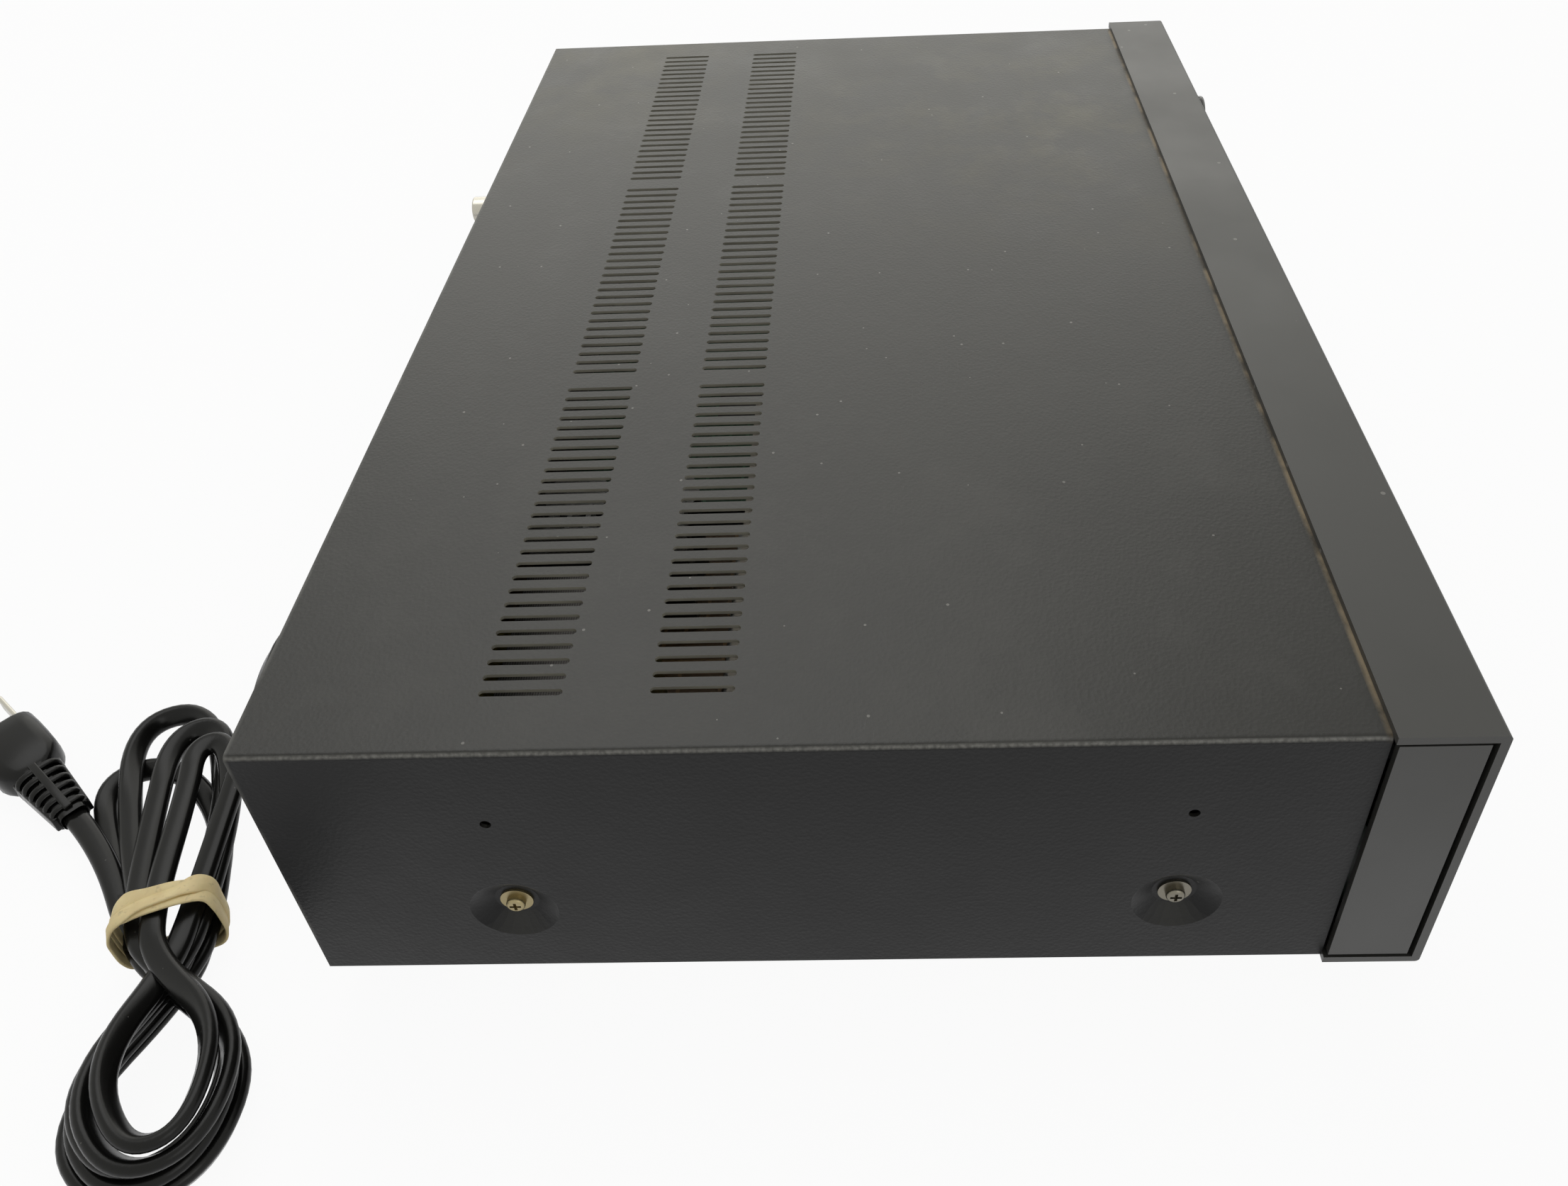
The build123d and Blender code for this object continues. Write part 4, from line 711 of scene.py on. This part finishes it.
def printed(name, body, outlines, x, z, face, ink):
    shape = bmesh.new()
    for outline in outlines:
        corners = [shape.verts.new((x + u / 1000, face, z + w / 1000)) for u, w in outline]
        grown = bmesh.ops.extrude_face_region(shape, geom=[shape.faces.new(corners)])
        fresh = [item for item in grown["geom"] if isinstance(item, bmesh.types.BMVert)]
        bmesh.ops.translate(shape, vec=(0, -0.00013, 0), verts=fresh)
    made = place_shape(name, shape, Matrix.Identity(4), smooth=False)
    made.data.materials.append(ink)
    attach(made, body)


symbols = {"play": [arrow(0, 3.8, 4.4)], "pause": [bar(-1.1, 1.1, 4.2), bar(1.1, 1.1, 4.2)],
           "stop": [bar(0, 3.8, 3.8)], "record": [arc(2.1, 0, 345, 23)],
           "skip_back": [bar(-3.2, 0.8, 3.6), arrow(-1.2, -2.8, 3.6), arrow(1.8, -2.8, 3.6)],
           "skip_forward": [bar(3.2, 0.8, 3.6), arrow(1.2, 2.8, 3.6), arrow(-1.8, 2.8, 3.6)]}
for number, (name, outlines) in enumerate(symbols.items()):
    printed(name + "_symbol", name + "_key", outlines, first_button + number * button_pitch, upper_row,
            symbol_face, print_red if name == "record" else print_white)
printed("eject_symbol", "eject_key", [[(-2.2, -0.3), (2.2, -0.3), (0, 2.1)], bar(0, 4.4, 0.8, -1.3)],
        -0.074, lower_row, symbol_face, print_white)
printed("power_symbol", "power_key", [arc(2.4, 120, 420, 24) + arc(1.8, 420, 120, 24), bar(0, 0.6, 2.4, 1.7)],
        power_x, lower_row, symbol_face, print_white)
dress(button_satin, *[name + "_button" for name in symbols], "power_button", "eject_button")
lamps = bmesh.new()
for x, z in ((first_button + 3 * button_pitch, 0.0490), (power_x, 0.0410)):
    place = Matrix.Translation((x, front_face, z)) @ Matrix.Diagonal((0.0013, 0.0008, 0.0013, 1))
    bmesh.ops.create_uvsphere(lamps, u_segments=24, v_segments=12, radius=1.0, matrix=place)
lamps = place_shape("lamps", lamps, Matrix.Identity(4))
lamps.data.materials.append(lamp_red)
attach(lamps, "case")

# Knobs: dark satin with a paler rim, a pointer line, and a printed scale of dots round the level
# knob and the phones knob. The jog dial has two fine turned rings.
level_centre = (0.183, 0, 0.0697)
phones_centre = (-0.118, 0, 0.030)
jog_centre = (0.140, 0, 0.042)
knob_satin = finish("knob_satin", (0.016, 0.016, 0.0165), 0.33, grain=1400, depth=0.00001, specks=0.3,
                    scratches=0.2)
tree = knob_satin.node_tree
for centre, radius, face in ((level_centre, 0.0085, -0.1604), (phones_centre, 0.0060, -0.1544)):
    paint_over(knob_satin, (0.15, 0.15, 0.145), round_off(tree, centre, radius - 0.0009, radius + 0.0003, 1),
               within(tree, 1, face, 0.0010))
    paint_over(knob_satin, (0.50, 0.50, 0.48), within(tree, 0, centre[0], 0.0005),
               within(tree, 1, face + 0.0005, 0.0001), round_off(tree, centre, 0.002, radius - 0.0004, 1))
dress(knob_satin, "level_knob", "phones_knob")
dial_satin = finish("dial_satin", (0.028, 0.028, 0.029), 0.3, grain=1400, depth=0.000006, specks=0.3,
                    scratches=0.2)
tree = dial_satin.node_tree
for inner in (0.0158, 0.0040):
    paint_over(dial_satin, (0.10, 0.10, 0.10), round_off(tree, jog_centre, inner, inner + 0.0004, 1))
dress(dial_satin, "jog_dial")
for name, centre, radius in (("level_scale", level_centre, 11.4), ("phones_scale", phones_centre, 8.6)):
    dots = []
    for step in range(11):
        turn = radians(-150 + 30 * step)
        dot_x = radius * sin(turn)
        dot_z = radius * cos(turn)
        dots.append([(dot_x + 0.4 * u, dot_z + 0.4 * w) for u, w in arc(1, 0, 315, 7)])
    printed(name, "case", dots, centre[0], centre[2], front_face + 0.00005, print_white)

# Tray and drive: matt black plastic, a white nylon gear train with a rubber belt, steel motors, a
# zinc-plated traverse and a beige-grey lid that shows through the vents.
tray_matt = finish("tray_matt", (0.022, 0.022, 0.0225), 0.5, grain=1100, depth=0.00002, specks=0.3)
drive_black = finish("drive_black", (0.018, 0.018, 0.018), 0.55, grain=600, depth=0.00002, specks=0.45)
nylon = finish("white_nylon", (0.66, 0.64, 0.58), 0.42, grain=400, depth=0.00001, tone=0.06, specks=0.2)
belt_rubber = finish("belt_rubber", (0.012, 0.012, 0.012), 0.75, grain=900, specks=0.3)
can_steel = finish("can_steel", (0.50, 0.49, 0.47), 0.3, metal=1.0, grain=90, depth=0.000006,
                   stretch=(20, 20, 1))
shaft_steel = finish("shaft_steel", (0.62, 0.61, 0.59), 0.16, metal=1.0, grain=90, depth=0.000003,
                     stretch=(20, 1, 20))
lid_beige = finish("lid_beige", (0.43, 0.39, 0.32), 0.48, grain=700, depth=0.00001, tone=0.08, specks=0.5,
                   dust=(0.14, 0.13, 0.11))
dress(tray_matt, "disc_tray")
dress(drive_black, "drive_frame", "laser_sled")
dress(nylon, "tray_gear", "motor_pulley", "disc_clamp")
dress(belt_rubber, "tray_belt")
dress(can_steel, "tray_motor", "sled_motor", "spindle_motor")
dress(shaft_steel, "guide_rods")
dress(zinc, "traverse_frame")
dress(lid_beige, "drive_lid")
thread_steel = finish("thread_steel", (0.58, 0.57, 0.54), 0.22, metal=1.0, grain=90, depth=0.000003)
paint_over(thread_steel, (0.16, 0.155, 0.15), stripes(thread_steel.node_tree, 1, 0.001, 0.45))
dress(thread_steel, "lead_screw")
table_black = finish("table_black", (0.015, 0.015, 0.015), 0.35, grain=800)
dress(table_black, "turntable")
lens = finish("lens_unit", (0.015, 0.015, 0.016), 0.3, grain=500)
disc_centre = Vector((-0.128, -0.0651, 0))
lens_centre = Vector((-0.128, -0.0409, 0))
paint_over(lens, (0.02, 0.035, 0.11), round_off(lens.node_tree, lens_centre, 0, 0.0025, 2),
           between(lens.node_tree, coordinate(lens.node_tree, 2), 0.06405, 0.0641))
dress(lens, "pickup_lens")


def annulus(shape, inner, outer, depth, matrix, segments=40):
    rings = []
    turns = [2 * pi * k / segments for k in range(segments)]
    for radius, height in ((inner, 0), (outer, 0), (outer, depth), (inner, depth)):
        places = [Vector((radius * cos(a), radius * sin(a), height)) for a in turns]
        rings.append([shape.verts.new(matrix @ place) for place in places])
    for first, second in zip(rings, rings[1:] + rings[:1]):
        for k in range(segments):
            nxt = (k + 1) % segments
            shape.faces.new((first[k], first[nxt], second[nxt], second[k]))


mat_ring = bmesh.new()
annulus(mat_ring, 0.0088, 0.0140, 0.0004, Matrix.Translation((disc_centre.x, disc_centre.y, 0.06797)))
mat_ring = place_shape("turntable_mat", mat_ring, Matrix.Identity(4), smooth=False)
mat_ring.data.materials.append(belt_rubber)
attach(mat_ring, "table")

# Electronics: two green boards and a brown one, with paler tracks, dark parts and silver can tops,
# a laminated transformer with a taped coil, a grey ribbon cable and black pots.
def board_material(name, mask_colour, top_z, top_y=None):
    made = finish(name, mask_colour, 0.4, grain=500, depth=0.000008, tone=0.2, specks=0.35)
    tree = made.node_tree
    for index, pitch in ((0, 0.0051), (1 if top_y is None else 2, 0.0067)):
        patch = add(tree, "ShaderNodeTexNoise", {"Vector": add(tree, "ShaderNodeTexCoord").outputs["Object"],
                                                 "Scale": 60.0 + 25 * index, "Detail": 0.0})
        paint_over(made, tuple(c * 2.2 + 0.01 for c in mask_colour), stripes(tree, index, pitch, 0.18),
                   between(tree, patch.outputs["Fac"], 0.50, 0.51))
    if top_y is None:
        above = between(tree, coordinate(tree, 2), top_z + 0.00005, top_z + 0.00015)
    else:
        above = between(tree, coordinate(tree, 1), top_y - 0.00005, top_y - 0.00015)
    paint_over(made, (0.014, 0.014, 0.015), above)
    return made


board_top = 0.0236
main_green = board_material("main_board_green", (0.018, 0.075, 0.030), board_top)
tree = main_green.node_tree
can_tops = between(tree, coordinate(tree, 2), board_top + 0.0117, board_top + 0.0119)
paint_over(main_green, (0.45, 0.45, 0.44), can_tops)
dress(main_green, "main_board")
power_brown = board_material("power_board_brown", (0.13, 0.075, 0.028), board_top)
tree = power_brown.node_tree
can_tops = between(tree, coordinate(tree, 2), board_top + 0.0336, board_top + 0.0338)
paint_over(power_brown, (0.50, 0.50, 0.48), can_tops)
dress(power_brown, "power_board")
front_green = board_material("front_board_green", (0.018, 0.075, 0.030), 0, top_y=-0.1287)
dress(front_green, "front_board")
core = finish("core_steel", (0.20, 0.19, 0.18), 0.5, metal=0.6, grain=200, tone=0.2)
tree = core.node_tree
paint_over(core, (0.09, 0.085, 0.08), stripes(tree, 1, 0.0007, 0.4))
from_core = add(tree, "ShaderNodeMath", {0: coordinate(tree, 1), 1: 0.0849}, operation="SUBTRACT")
paint_over(core, (0.45, 0.36, 0.12), between(tree, size_of(tree, from_core.outputs[0]), 0.0141, 0.0142))
dress(core, "transformer")
grey_ribbon = finish("grey_ribbon", (0.42, 0.42, 0.41), 0.5, grain=300, tone=0.05)
paint_over(grey_ribbon, (0.22, 0.22, 0.215), stripes(grey_ribbon.node_tree, 1, 0.00127, 0.2))
dress(grey_ribbon, "ribbon_cable")
pot_black = finish("pot_black", (0.02, 0.02, 0.02), 0.5, grain=500)
dress(pot_black, "control_pots", "line_jack_block", "optical_jacks", "cord_gland")
phones_black = finish("phones_black", (0.014, 0.014, 0.014), 0.3, grain=500)
paint_over(phones_black, (0.36, 0.36, 0.35), within(phones_black.node_tree, 1, -0.1452, 0.0011),
           round_off(phones_black.node_tree, (-0.150, 0, 0.030), 0.0034, 0.0070, 1))
dress(phones_black, "phones_jack")

# Rear fittings and feet: red and white rings round the line jacks, shutters in the optical ports,
# ribs on the cord's gland, a bare metal label, and black feet with a paler sole.
panel_face = 0.1469
to_rear = Matrix.Rotation(-pi / 2, 4, "X")
for name, z, ink in (("white_rings", 0.069, print_white), ("red_rings", 0.050, print_red)):
    rings = bmesh.new()
    for x in (0.119, 0.141):
        annulus(rings, 0.0042, 0.0062, 0.0014, Matrix.Translation((x, panel_face - 0.00005, z)) @ to_rear)
    rings = place_shape(name, rings, Matrix.Identity(4), smooth=False)
    rings.data.materials.append(ink)
    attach(rings, "case")
ribs = bmesh.new()
for number in range(5):
    radius = 0.0064 - 0.00042 * number
    annulus(ribs, radius - 0.0015, radius + 0.0002, 0.0017,
            Matrix.Translation((gland_tip.x, panel_face + 0.0034 + number * 0.0028, gland_tip.z)) @ to_rear)
ribs = place_shape("gland_ribs", ribs, Matrix.Identity(4), smooth=False)
ribs.data.materials.append(black_vinyl)
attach(ribs, "case")
plates = bmesh.new()
for x in (0.022, 0.002):
    bmesh.ops.create_cube(plates, size=1.0, matrix=Matrix.Translation((x, panel_face - 0.0015, 0.070))
                          @ Matrix.Diagonal((0.0049, 0.0004, 0.0049, 1)))
plates = place_shape("optical_shutters", plates, Matrix.Identity(4), smooth=False)
plates.data.materials.append(knob_satin)
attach(plates, "case")
label = bmesh.new()
bmesh.ops.create_cube(label, size=1.0, matrix=Matrix.Translation((0.0, panel_face + 0.00005, 0.040))
                      @ Matrix.Diagonal((0.070, 0.0002, 0.026, 1)))
label = place_shape("bare_label", label, Matrix.Identity(4), smooth=False)
label.data.materials.append(zinc)
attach(label, "case")
foot_black = finish("foot_black", (0.014, 0.014, 0.014), 0.5, grain=700, specks=0.4)
tree = foot_black.node_tree
paint_over(foot_black, (0.03, 0.029, 0.028), between(tree, coordinate(tree, 2), 0.0012, 0.0010))
dress(foot_black, "foot_front_left", "foot_front_right", "foot_rear_left", "foot_rear_right")

# The render's colours
scene.view_settings.view_transform = "Standard"
